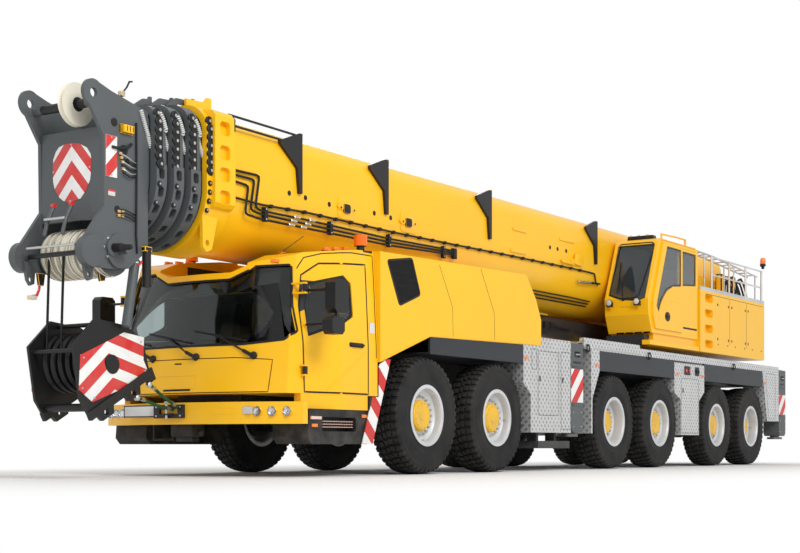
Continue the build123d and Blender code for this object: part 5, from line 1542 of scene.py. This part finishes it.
# Low and high x, low and high distance from the cheek, low and high z, finish, softening
CHEEK_BOXES = [
    (7.920, 8.082, -0.004, 0.016, 3.365, 3.458, 1, 0.004),
    (7.932, 8.070, 0.012, 0.052, 3.375, 3.449, 0, 0.008),
    (7.98, 8.04, -0.07, -0.02, 3.74, 3.79, 2, 0.008)]
CHEEK_BOXES += [(x - 0.006, x + 0.006, 0.050, 0.055, 3.385, 3.440, 1, 0.001) for x in (7.95, 7.99,
                                                                                       8.03)]
CHEEK_BOXES += [
    (x - 0.018, x + 0.018, -0.002, 0.024, z - 0.012, z + 0.012, 2, 0.003)
    for x, z in ((8.09, 3.165), (8.075, 3.125), (8.06, 3.085), (8.05, 3.02), (8.11, 2.60),
                 (8.06, 2.60), (8.11, 2.56), (8.06, 2.56))]
for x0, x1, inner, outer, z0, z1, finish, soften in CHEEK_BOXES:
    head.box((x0, x1), (cheek + inner, cheek + outer), (z0, z1), finish, soften)
head.slab(rect(8.147, 8.241, 2.740, 2.797, 0.006), "y", cheek - 0.002, cheek + 0.003, 5, 0.001)
head.slab(rect(8.147, 8.241, 2.780, 2.797), "y", cheek + 0.002, cheek + 0.004, 4, 0.0)
for x, z, reach in ((8.03, 3.205, 0.05), (8.16, 3.455, 0.04), (7.985, 3.10, 0.03),
                    (8.12, 2.62, 0.035)):
    head.turn((x, cheek - 0.002, z), "y",
              [(reach, 0.0), (reach, 0.008), (reach * 0.6, 0.012), (0.0, 0.012)], 1, 24)

hoses = [([(8.20, 0.012, 3.210), (8.10, 0.040, 3.205), (8.00, 0.040, 3.235), (7.93, 0.010, 3.28)],
          0.014, 1, 10)]
for number in range(6):
    z = 3.16 - number * 0.035
    hoses.append(([(8.09 - 0.010 * number, 0.004, z), (8.04, 0.030, z - 0.012),
                   (7.96, 0.034, z - 0.045),
                   (7.86, 0.006, z - 0.060 + 0.01 * number)], 0.007, 1 if number % 2 else 2, 8))
for number in range(3):
    z = 2.615 - number * 0.030
    hoses.append(([(8.13, 0.006, z), (8.05, 0.026, z + 0.01), (7.95, 0.026, z - 0.012),
                   (7.87, 0.006, z - 0.02)], 0.006, 1, 8))
for points, radius, finish, steps in hoses:
    head.hose(on_cheek(points), 0.03, radius, finish, steps)
head.pipe(on_cheek([(7.865, 0.014, 3.50), (7.862, 0.014, 2.95), (7.868, 0.014, 2.40),
                    (7.85, 0.010, 2.22)]),
          0.010, 1, 8)
head.pipe(on_cheek([(7.985, -0.06, 3.78), (7.945, -0.04, 3.84), (7.90, -0.05, 3.905),
                    (7.83, -0.08, 3.925)]),
          0.009, 1, 8)

head.turn((HUB[0], cheek - 0.01, HUB[1]), "y", [(0.125, 0.0), (0.125, 0.012), (0.105, 0.022),
          (0.085, 0.024), (0.080, 0.050), (0.060, 0.056), (0.0, 0.056)], 3, 40)
for place in around((HUB[0], cheek + 0.010, HUB[1]), 0.102, 6):
    head.bolt(place, "y", 0.012, 2)
head.turn((HUB[0], cheek + 0.04, HUB[1]), (-0.10, 1.0, -0.03), [(0.042, 0.0), (0.040, 0.10),
          (0.030, 0.112), (0.026, 0.20), (0.020, 0.215), (0.0, 0.217)], 1, 24)
for number in range(9):
    y = -0.342 + 0.0825 * number
    head.turn((SHEAVES[0], y, SHEAVES[1]), "y",
              [(0.238, 0.0), (0.246, 0.003), (0.246, 0.021), (0.238, 0.024)], 6, 56)
head.turn((PULLEY[0], 0.150, PULLEY[1]), "y",
          [(0.085, 0.0), (0.085, 0.014), (0.060, 0.020), (0.058, 0.032), (0.0, 0.032)], 1, 28)
for place in around((PULLEY[0], 0.180, PULLEY[1]), 0.030, 3, 1.2 / math.tau):
    head.bolt(place, "y", 0.011, 2)

for y in (0.120, -0.125):
    head.pipe([(8.395, y, 2.66), (8.46, y - 0.012, 2.52), (8.50, y - 0.020, 2.36)], 0.020, 3, 10)
    head.turn((8.40, y - 0.02, 2.665), "y", [(0.022, 0.0), (0.022, 0.04), (0.0, 0.04)], 4, 16)
head.bar((8.485, -0.16, 2.52), (8.485, 0.12, 2.52), 0.014, 2)
head.bar((8.555, -0.330, 2.245), (8.555, 0.330, 2.245), 0.013, 2)
head.pipe([(7.80, 0.38, 2.15), (7.84, 0.385, 1.95), (7.93, 0.39, 1.50)], 0.050, 3, 16)
head.turn((7.795, 0.38, 2.13), (-0.1, 0, 1),
          [(0.058, 0.0), (0.050, 0.03), (0.030, 0.05), (0.022, 0.10), (0.0, 0.10)], 2, 20)
head.pipe([(7.80, 0.32, 2.14), (7.83, 0.38, 2.10), (7.80, 0.44, 2.12), (7.78, 0.46, 2.15)], 0.012,
          4, 8)
head.turn((7.790, 0.34, 2.20), "y", [(0.055, -0.02), (0.055, 0.02), (0.030, 0.026), (0.0, 0.026)],
          2, 20)
head.pipe([(7.72, 0.46, 2.27), (7.72, 0.46, 1.90)], 0.045, 1, 20)
head.box((7.68, 7.78), (0.42, 0.50), (2.25, 2.30), 1, 0.008)
head.slab([(8.16, 1.93), (8.22, 1.92), (8.25, 2.04), (8.20, 2.10), (8.12, 2.08)], "y", 0.300,
          0.330, 1, 0.004)
head.slab([(8.36, 1.90), (8.42, 1.90), (8.44, 2.02), (8.34, 2.02)], "y", -0.330, -0.300, 1, 0.004)
head.pipe([(8.40, -0.315, 1.93), (8.41, -0.315, 1.86), (8.44, -0.315, 1.80), (8.50, -0.315, 1.79)],
          0.013, 4, 8)
head.box((8.46, 8.54), (-0.345, -0.285), (1.755, 1.795), 5, 0.006)
head.hang("head_fittings", "boom_head_section", "grey_paint", yellow, black_plastic, zinc,
          boom_grey,
          red_lens, plate_white, paint("cream_nylon", CREAM, 0.45, dust=0.0))
print("head fittings", len(CHEEK_BOXES), "boxes", len(hoses), "hoses")

# %% [markdown]
# The hook block hangs tied back to the bumper. Striped boards close its two cheeks, with a black
# disc over the axle. Green webbing stays tie the block to the jaw on the bumper. The stays belong
# to the block, because they leave with it.

# %% Boards and stays of the hook block
BOARD = [(8.484, 1.196), (8.119, 1.349), (7.896, 1.449), (7.613, 1.417), (7.620, 1.192),
         (7.540, 1.057), (7.913, 0.894), (8.320, 0.749), (8.500, 0.863)]
BOARD_BOLTS = ((8.44, 1.17), (7.66, 1.37), (7.60, 1.08), (8.46, 0.88), (8.30, 0.79))
DISC = (8.057, 1.126)
# Start in x and z on the board, and end in y and z at the jaw
STAYS = (((7.538, 0.944), (0.03, 0.745)), ((7.710, 0.809), (-0.03, 0.715)))
board_sheet = reflective(
    "board_sheet", chevrons((0.225, 0.0, 0.974), (0.974, 0.0, -0.225), 7.617, 0.51, 0.24, 3.144))
block_skin = skin_of("hook_block")
block = Workpiece()
for side in LEFT_RIGHT:
    level = max(0.300, proudest(block_skin, shrunk(BOARD, 0.8), beside(side), parts=1))
    block.slab(BOARD, "y", *span(side, level - 0.002, level + 0.006), 0, 0.002)
    block.turn((DISC[0], side * (level + 0.005), DISC[1]), OUT[side],
               [(0.095, 0.0), (0.094, 0.006), (0.088, 0.009), (0.0, 0.010)], 1, 40)
    for x, z in BOARD_BOLTS:
        block.bolt((x, side * (level + 0.005), z), OUT[side], 0.010, 2)
for (x, z), (end_y, end_z) in STAYS:
    start, end = Vector((x, level + 0.016, z)), Vector((6.80, end_y, end_z))
    run = end - start
    block.pipe([start, start + run * 0.5 - Vector((0, 0, 0.012)), end], 0.017, 3, 8)
    for share in (0.12, 0.86):
        block.pipe([start + run * (share - 0.05), start + run * (share + 0.05)], 0.021, 2, 8)
    block.turn(start - Vector((0, 0.03, 0)), "y",
               [(0.030, 0.0), (0.030, 0.035), (0.018, 0.045), (0.0, 0.046)], 2, 16)
block.hang("hook_boards", "hook_block", "dark_trim", board_sheet, black_plastic, zinc,
           paint("green_webbing", (0.012, 0.085, 0.030), 0.75, dust=0.0))
print("board level", round(level, 3))

# %% [markdown]
# The crane driver's cab is mostly window. A rubber lip runs round its front pane. A wiper hangs on
# it, work lamps sit on the nose, and a lamp bar lights the load from the roof. Dark pads line the
# lower edge, and a gutter and a grab rail run round the top.

# %% Dressing of the crane cab
FRONT_PANE = [(0.730, 2.690), (0.936, 2.625), (1.175, 2.625), (1.215, 2.665), (1.330, 3.440),
              (1.290, 3.490), (0.760, 3.490)]
NOSE_PADS = ((0.80, 0.93), (0.95, 1.08), (1.10, 1.23), (1.25, 1.36))
GUTTER = [(-2.62, 3.505), (-2.86, 3.560), (-4.28, 3.560)]
RAIL = [(-3.249, 3.56), (-3.249, 3.70), (-3.90, 3.72), (-4.22, 3.72), (-4.22, 3.56)]
crane_cab_skin = skin_of("crane_cab", "crane_cab_glass")
cab_metal_skin = skin_of("crane_cab")
pane_skin = skin_of("crane_cab_glass")
upper = Workpiece()
lip = rounded(shrunk(FRONT_PANE, 1.03), 0.03)
upper.seam(crane_cab_skin, lip, AHEAD, 0.022, 0.005, 0, closed=True, step=0.04)
sweep = trace(pane_skin, [(0.86, 2.69), (0.82, 3.20)], AHEAD, lift=0.012, step=0.1)
upper.ribbon(sweep, 0.014, 0.012, 0)
foot, _ = land(crane_cab_skin, AHEAD, 0.975, 2.60)
upper.turn(foot, "x", [(0.030, 0.0), (0.030, 0.014), (0.020, 0.030), (0.0, 0.034)], 0, 16)
middle, _ = sweep[len(sweep) // 2]
upper.pipe([foot + Vector((0.024, 0, 0)), middle + Vector((0.018, 0, 0))], 0.007, 0, 8)
for y in (0.77, 1.23):
    face, _ = land(cab_metal_skin, AHEAD, y, 2.55)
    upper.turn(face, "x", [(0.052, -0.004), (0.052, 0.004), (0.046, 0.006)], 0, 24)
    upper.turn(face, "x", [(0.046, 0.003), (0.036, 0.008), (0.0, 0.011)], 5, 24)
nose = next(land(crane_cab_skin, AHEAD, 1.0, z)[0] for z in (3.655, 3.62, 3.60, 3.58)
            if land(crane_cab_skin, AHEAD, 1.0, z))
for y in (0.88, 1.02, 1.16):
    upper.turn((nose.x, y, nose.z), "x", [(0.034, -0.003), (0.034, 0.004), (0.020, 0.009),
                                          (0.0, 0.010)],
               3, 20)
for low, high in NOSE_PADS:
    upper.seam(cab_metal_skin, [(low, 2.085), (high, 2.085)], AHEAD, 0.030, 0.003, 2, step=0.2)
upper.seam(crane_cab_skin, [(0.70, 2.035), (1.37, 2.035)], AHEAD, 0.020, 0.003, 0, step=0.2)
upper.seam(crane_cab_skin, GUTTER, beside(1), 0.018, 0.012, 1)
upper.seam(crane_cab_skin, [(-3.72, 2.235), (-4.30, 2.235)], beside(1), 0.034, 0.0015, 0, step=0.2)
upper.seam(crane_cab_skin, [(-2.62, 2.02), (-4.15, 1.99)], beside(1), 0.045, 0.006, 4, step=0.2)
upper.pipe([(x, 1.22, z) for x, z in RAIL], 0.014, 1, 10)
upper.hang("crane_cab_dressing", "superstructure", "dark_trim",
           seal_rubber, yellow, gloss_black, lens_clear, zinc, plate_white)
print("roof bar at", round(nose.x, 3), round(nose.z, 3))

# %% [markdown]
# The crane cab's door slides back along its side. Its pane has a printed border too, and below it
# lies a round dish with a grip. The fixed pane behind the door gets the same border.

# %% Dressing of the crane cab's door
DOOR_GLASS = [(-3.560, 2.900), (-3.560, 3.450), (-3.010, 3.450), (-2.610, 2.500), (-2.680, 2.430),
              (-2.780, 2.600), (-3.000, 2.790), (-3.250, 2.870)]
SIDE_GLASS = [(-4.255, 2.965), (-4.255, 3.450), (-3.715, 3.450), (-3.715, 2.920)]
crane_cab_door_skin = skin_of("crane_cab_door", "crane_cab_door_glass")
door_low, door_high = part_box("crane_cab_door")
crease = [(door_low.x + 0.03, 2.62), (door_high.x - 0.35, 2.62)]
slide = Workpiece()
slide.seam(skin_of("crane_cab_door_glass"), DOOR_GLASS, beside(1), 0.030, 0.002, 2, closed=True)
grip, _ = land(crane_cab_door_skin, beside(1), -3.02, 2.36)
dish = [(grip.x + 0.10 * math.cos(a), grip.z + 0.075 * math.sin(a)) for a in angles(28)]
slide.slab(dish, "y", grip.y - 0.002, grip.y + 0.004, 0, 0.001)
slide.block(grip + Vector((0, 0.0125, 0)), (0.055, 0.0095, 0.014), 0, 0.005)
slide.seam(crane_cab_door_skin, crease, beside(1), 0.010, 0.003, 1, step=0.3)
slide.hang("crane_cab_door_dressing", "crane_cab_door", "dark_trim", black_plastic, yellow,
           gloss_black)
sash = Workpiece()
sash.seam(pane_skin, SIDE_GLASS, beside(1), 0.030, 0.002, 0, closed=True)
sash.hang("crane_cab_sash", "superstructure", "dark_trim", gloss_black)
print("crane cab door from", round(door_low.x, 3), "to", round(door_high.x, 3))

# %% [markdown]
# The house behind the cab is a row of sheet covers. Joints, a row of drain holes, small round
# fasteners and a beacon on the rail are what the photograph shows. Hoses rise out of the house
# behind the boom, in front of a plain yellow frame. A folded rail of galvanised rods and rungs
# stands beside them.

# %% Dressing of the house
HOUSE_JOINTS = ([(-5.72, 2.07), (-5.72, 2.845)], [(-6.54, 2.07), (-6.54, 2.845)],
                [(-4.62, 2.860), (-7.85, 2.860)])
DRAINS = [(x, 2.05) for x in (-5.182, -5.630, -5.986, -6.459, -6.834, -7.303)]
FASTENERS = [(x, z) for x in (-5.16, -5.66, -5.82, -6.48, -6.62, -7.50) for z in (2.14, 2.72)]
DRAIN = [(0.016, -0.001), (0.016, 0.0015), (0.0, 0.0015)]
FASTENER = [(0.022, -0.001), (0.022, 0.003), (0.012, 0.005), (0.0, 0.005)]
BEACON_PLACE = (-7.50, 1.38)
HOUSE_ROOF = 2.82
RAIL_Y = (0.98, 1.16)
house_skin = skin_of("crane_house")
house = Workpiece()
for side in LEFT_RIGHT:
    for line in HOUSE_JOINTS:
        house.seam(house_skin, line, beside(side), 0.008, 0.0015, 0, step=0.15)
    for spots, profile in ((DRAINS, DRAIN), (FASTENERS, FASTENER)):
        for x, z in spots:
            found = land(house_skin, beside(side), x, z)
            if found:
                house.turn(found[0], OUT[side], profile, 0, 14)
house.turn((*BEACON_PLACE, 3.605), "z", [(0.030, 0.0), (0.052, 0.010), (0.052, 0.050),
                                         (0.0, 0.052)], 0, 20)
house.turn((*BEACON_PLACE, 3.655), "z", [(0.050, 0.0), (0.052, 0.070), (0.042, 0.105),
                                         (0.0, 0.115)], 1, 24)
house.block((*BEACON_PLACE, 3.5865), (0.03, 0.02, 0.0215), 0, 0.005)
for number, y in enumerate((0.80, 0.86, 0.92)):
    lift = 0.03 * number
    house.hose([(-6.70, y, 2.80), (-6.74, y, 3.02 + lift), (-7.15, y, 3.06 + lift),
                (-7.20, y, 2.80)],
               0.08, 0.018, 0, 10)
for number in range(6):
    x = -6.92 - 0.14 * number
    rise = 3.22 + 0.05 * (number % 3)
    house.hose([(x, 0.84, 2.83), (x + 0.02, 0.82, rise), (x - 0.18, 0.85, rise + 0.16),
                (x - 0.32, 0.90, rise - 0.10), (x - 0.30, 0.94, 2.83)], 0.12, 0.020, 0, 10)
for x in (-6.80, -7.42):
    house.block((x, 0.82, 3.13), (0.05, 0.06, 0.31), 2, 0.02)
house.box((-7.47, -6.75), (0.76, 0.84), (3.36, 3.44), 2, 0.02)


def rail_level(x):
    """The folded rail is level over the front covers and slopes down behind them."""
    return 3.60 - max(0.0, -5.60 - x) * 0.14 / 2.2


for y in RAIL_Y:
    house.pipe([(-4.78, y, 3.62), (-5.60, y, 3.60), (-7.80, y, 3.46)], 0.016, 4, 10)
    for x in (-5.2, -6.6, -7.7):
        house.bar((x, y, HOUSE_ROOF), (x, y, rail_level(x)), 0.013, 4, 10)
for x in (-5.0 - number * 0.29 for number in range(10)):
    house.bar((x, RAIL_Y[0], rail_level(x)), (x, RAIL_Y[1], rail_level(x)), 0.011, 4, 10)
house.box((-6.05, -5.80), (0.78, 1.05), (2.83, 2.93), 2, 0.015)
house.box((-5.45, -5.15), (0.85, 1.20), (2.83, 2.88), 3, 0.015)
house.hang("house_dressing", "superstructure", "dark_trim",
           seal_rubber, amber, yellow, black_plastic, zinc)
print("house joints", 2 * len(HOUSE_JOINTS), "fasteners", 2 * len(FASTENERS))

# %% [markdown]
# The lift cylinder is a plain tube, but its head carries safety valves with a pipe each, because a
# burst hose must never let the boom fall.

# %% Lift cylinder fittings
valve = Workpiece()
barrel_skin = skin_of("lift_cylinder_barrel")
for x in (-1.30, -1.48):
    place, _ = land(barrel_skin, beside(1), x, 2.17)
    valve.block(place + Vector((0, 0.0125, 0)), (0.07, 0.0325, 0.05), 0, 0.006)
    valve.pipe([place + Vector(step) for step in
                ((-0.03, 0.04, 0.0), (-0.30, 0.045, -0.02), (-0.60, 0.02, -0.03))], 0.012, 1, 8)
valve.hang("lift_cylinder_valve", "lift_cylinder_barrel", "dark_trim", black_plastic, seal_rubber)
print("valve blocks", 2)

# %% [markdown]
# The parts that CAD already shapes well keep their own mesh and only get a finish. Where one part
# is painted in several ways, its areas are listed as ranges in metres: the black brackets on the
# boom, the cream sheaves in the head, the silver post of the house, the dark lining inside a cab,
# the stripes on steps and outriggers. Distances across the crane are taken from its middle, so one
# range serves both sides.

# %% Masked paints
BRACKETS = (5.430, 3.700, 1.180, -2.110)
BEACON_COLUMN = {"x": (5.040, 5.220), "y": (1.14, 1.33)}
STEP_BOARD = [(4.773, 1.30), (4.973, 1.30), (5.33, 0.354), (5.13, 0.354)]
LINING = (0.0, 1.0, 0.048)
DOOR_FRONT = (0.265, 1.0, 0.048)
# A finish inside a masked paint: its colour, its roughness and how metallic it is
SATIN_BLACK = (BLACK, 0.45, 0.0)
CREAM_NYLON = (CREAM, 0.45, 0.0)
TRIM_FELT = (TRIM, 0.6, 0.0)
stay_black = [({"y": (0.6005, 2.0), "z": (3.0, 3.8), "x": (x - 0.10, x + 0.45)}, *SATIN_BLACK)
              for x in BRACKETS]
stay_black.append(({"y": (0.6005, 2.0), "z": (3.6, 4.2), "x": (5.33, 6.66)}, *SATIN_BLACK))
boom_yellow = coated("boom_yellow", stay_black)
head_paint = paint("boom_head_paint", HEAD_GREY, 0.42, coat=0.15, dust=0.0, areas=(
    ({SHEAVES: (0.0, 0.24), "y": (0.0, 0.372)}, *CREAM_NYLON),
    ({SHEAVES: (0.0, 0.07), "y": (0.0, 0.372)}, *SATIN_BLACK),
    ({PULLEY: (0.0, 0.222), "y": (0.0, 0.25)}, *CREAM_NYLON),
    ({PULLEY: (0.0, 0.070), "y": (0.0, 0.30)}, *SATIN_BLACK),
    ({(8.484, 2.175): (0.0, 0.026), "y": (0.0, 0.372)}, BLACK, 0.35, 0.0),
))
hook_paint = paint("hook_block_paint", BLACK, 0.42, coat=0.10, dust=0.08, areas=(
    ({"side": (-0.27, -0.03), "x": (8.32, 8.395), "z": (1.3, 3.0)}, (0.030, 0.029, 0.028), 0.5,
     1.0),
))
house_paint = coated("crane_house_paint", (
    ({"y": (1.36, 1.45), "z": (2.911, 3.6)}, SILVER, 0.35, 0.8),
    ({"x": (-2.62, -2.40), "z": (0.0, 2.055), "y": (0.0, 1.29)}, SKIRT_GREY, 0.5, 0.0),
))
crane_cab_paint = coated("crane_cab_paint", (
    ({"y": (0.70, 1.353), "z": (2.112, 3.536), "x": (-4.31, -2.36),
      (0.9155, 0.0, 0.4024): (-FAR, -1.115), (0.901, 0.0, -0.434): (-FAR, -3.165)},
     (0.11, 0.12, 0.13), 0.6, 0.0),
    *(({"x": (-2.330, -2.15), "z": (2.49, 2.61), "y": y}, *SATIN_BLACK)
      for y in ((0.71, 0.83), (1.17, 1.29))),
    ({"x": (-3.00, -2.33), "z": (3.572, 3.75)}, *SATIN_BLACK),
))
shell_paint = coated("driver_cab_paint", (
    ({"y": (0.0, 1.37), LINING: (-9.0, 1.425), "x": (5.035, 6.0), "z": (0.93, 2.13)}, *TRIM_FELT),
    ({"y": (0.0, 1.12), "z": (2.12, 2.36), "x": (5.07, 5.90)}, *TRIM_FELT),
    ({**BEACON_COLUMN, "z": (2.545, 2.68)}, (1.0, 0.17, 0.01), 0.15, 0.0),
    ({**BEACON_COLUMN, "z": (2.452, 2.545)}, *SATIN_BLACK),
))
door_paint = coated("cab_door_paint", (
    ({"y": (0.0, 1.372), "z": (0.8, 2.08), LINING: (-9.0, 1.425), DOOR_FRONT: (-9.0, 2.93)},
     *TRIM_FELT),
    ({"y": (1.40, 2.0)}, BLACK, 0.42, 0.0),
    ({DOOR_FRONT: (2.98, FAR), "x": (6.1, 6.5)}, BLACK, 0.42, 0.0),
))
step_paint = paint("skirt_and_step_paint", SKIRT_GREY, 0.45, coat=0.05, dust=0.25, dust_top=1.6,
                   areas=(
    ({"x": (4.70, 7.0)}, BLACK, 0.5, 0.0),
    (within(STEP_BOARD, y=(1.39, 2.0)), bands((-1.0, 0.0, 1.0), 0.40), 0.35, 0.0),
))
bumper_paint = coated("bumper_paint", dust=0.12, areas=(
    ({"x": (6.7365, 7.0), "side": (-0.335, 0.095), "z": (0.62, 0.775)}, BLACK, 0.5, 0.0),
))
hood_paint = coated("engine_hood_paint", ((within(INTAKE, y=(1.37, 2.0)), BLACK, 0.6, 0.0),))
beam_paint = {
    end: paint(f"{end}_outrigger_paint", HEAD_GREY, 0.45, dust=0.25, areas=(
        ({"y": (1.4185, 2.0), "z": board}, bands((1.0, 0.0, 1.0), 0.36), 0.35, 0.0),))
    for end, board in (("front", (0.935, 1.398)), ("rear", (0.920, 1.290)))}
jack_metal = paint("jack_metal", SILVER, 0.16, metal=1.0, drift=0.02, dust=0.0, peel=0.005, areas=(
    ({"z": (0.0, 0.62)}, STEEL, 0.5, 0.6),
))
barrel_grey = paint("cylinder_grey_paint", (0.032, 0.033, 0.035), 0.40, coat=0.15, dust=0.0)
print("masked paints", 13)

# %% [markdown]
# A table now says which CAD part wears which finish. Parts that come in numbers, such as knuckles
# and outriggers, are found by the start of their names. The wheels are missing here, because the
# dressed wheels stand in for them.

# %% Finishes of the CAD parts
FINISH_OF = {node: finish for finish, nodes in (
    (frame_black, "chassis_frame axles engine_block"),
    (checker, "deck_and_lockers"),
    (step_paint, "mudguards_and_steps"),
    (hood_paint, "engine_hood"),
    (shell_paint, "cab_shell"),
    (cab_glass, "cab_glass cab_door_glass_left cab_door_glass_right"),
    (cab_trim, "cab_interior"),
    (bumper_paint, "front_bumper"),
    (door_paint, "cab_door_left cab_door_right"),
    (yellow, "turntable crane_cab_door"),
    (house_paint, "crane_house"),
    (crane_cab_paint, "crane_cab"),
    (pale_glass, "crane_cab_glass crane_cab_door_glass"),
    (boom_yellow, "boom_base"),
    (boom_grey, "boom_section_2 boom_section_3 boom_section_4"),
    (head_paint, "boom_head_section"),
    (hook_paint, "hook_block"),
    (barrel_grey, "lift_cylinder_barrel"),
    (chrome, "lift_cylinder_rod"),
) for node in nodes.split()}
FINISH_OF_KIND = {
    "knuckle": frame_black, "outrigger_beam_front": beam_paint["front"],
    "outrigger_beam_rear": beam_paint["rear"], "outrigger_jack": jack_metal,
}
for node, thing in frame["nodes"].items():
    kinds = [finish for start, finish in FINISH_OF_KIND.items() if node.startswith(start)]
    finish = kinds[0] if kinds else FINISH_OF.get(node)
    if finish:
        thing.data.materials.clear()
        thing.data.materials.append(finish)
print("finished parts", len(FINISH_OF))
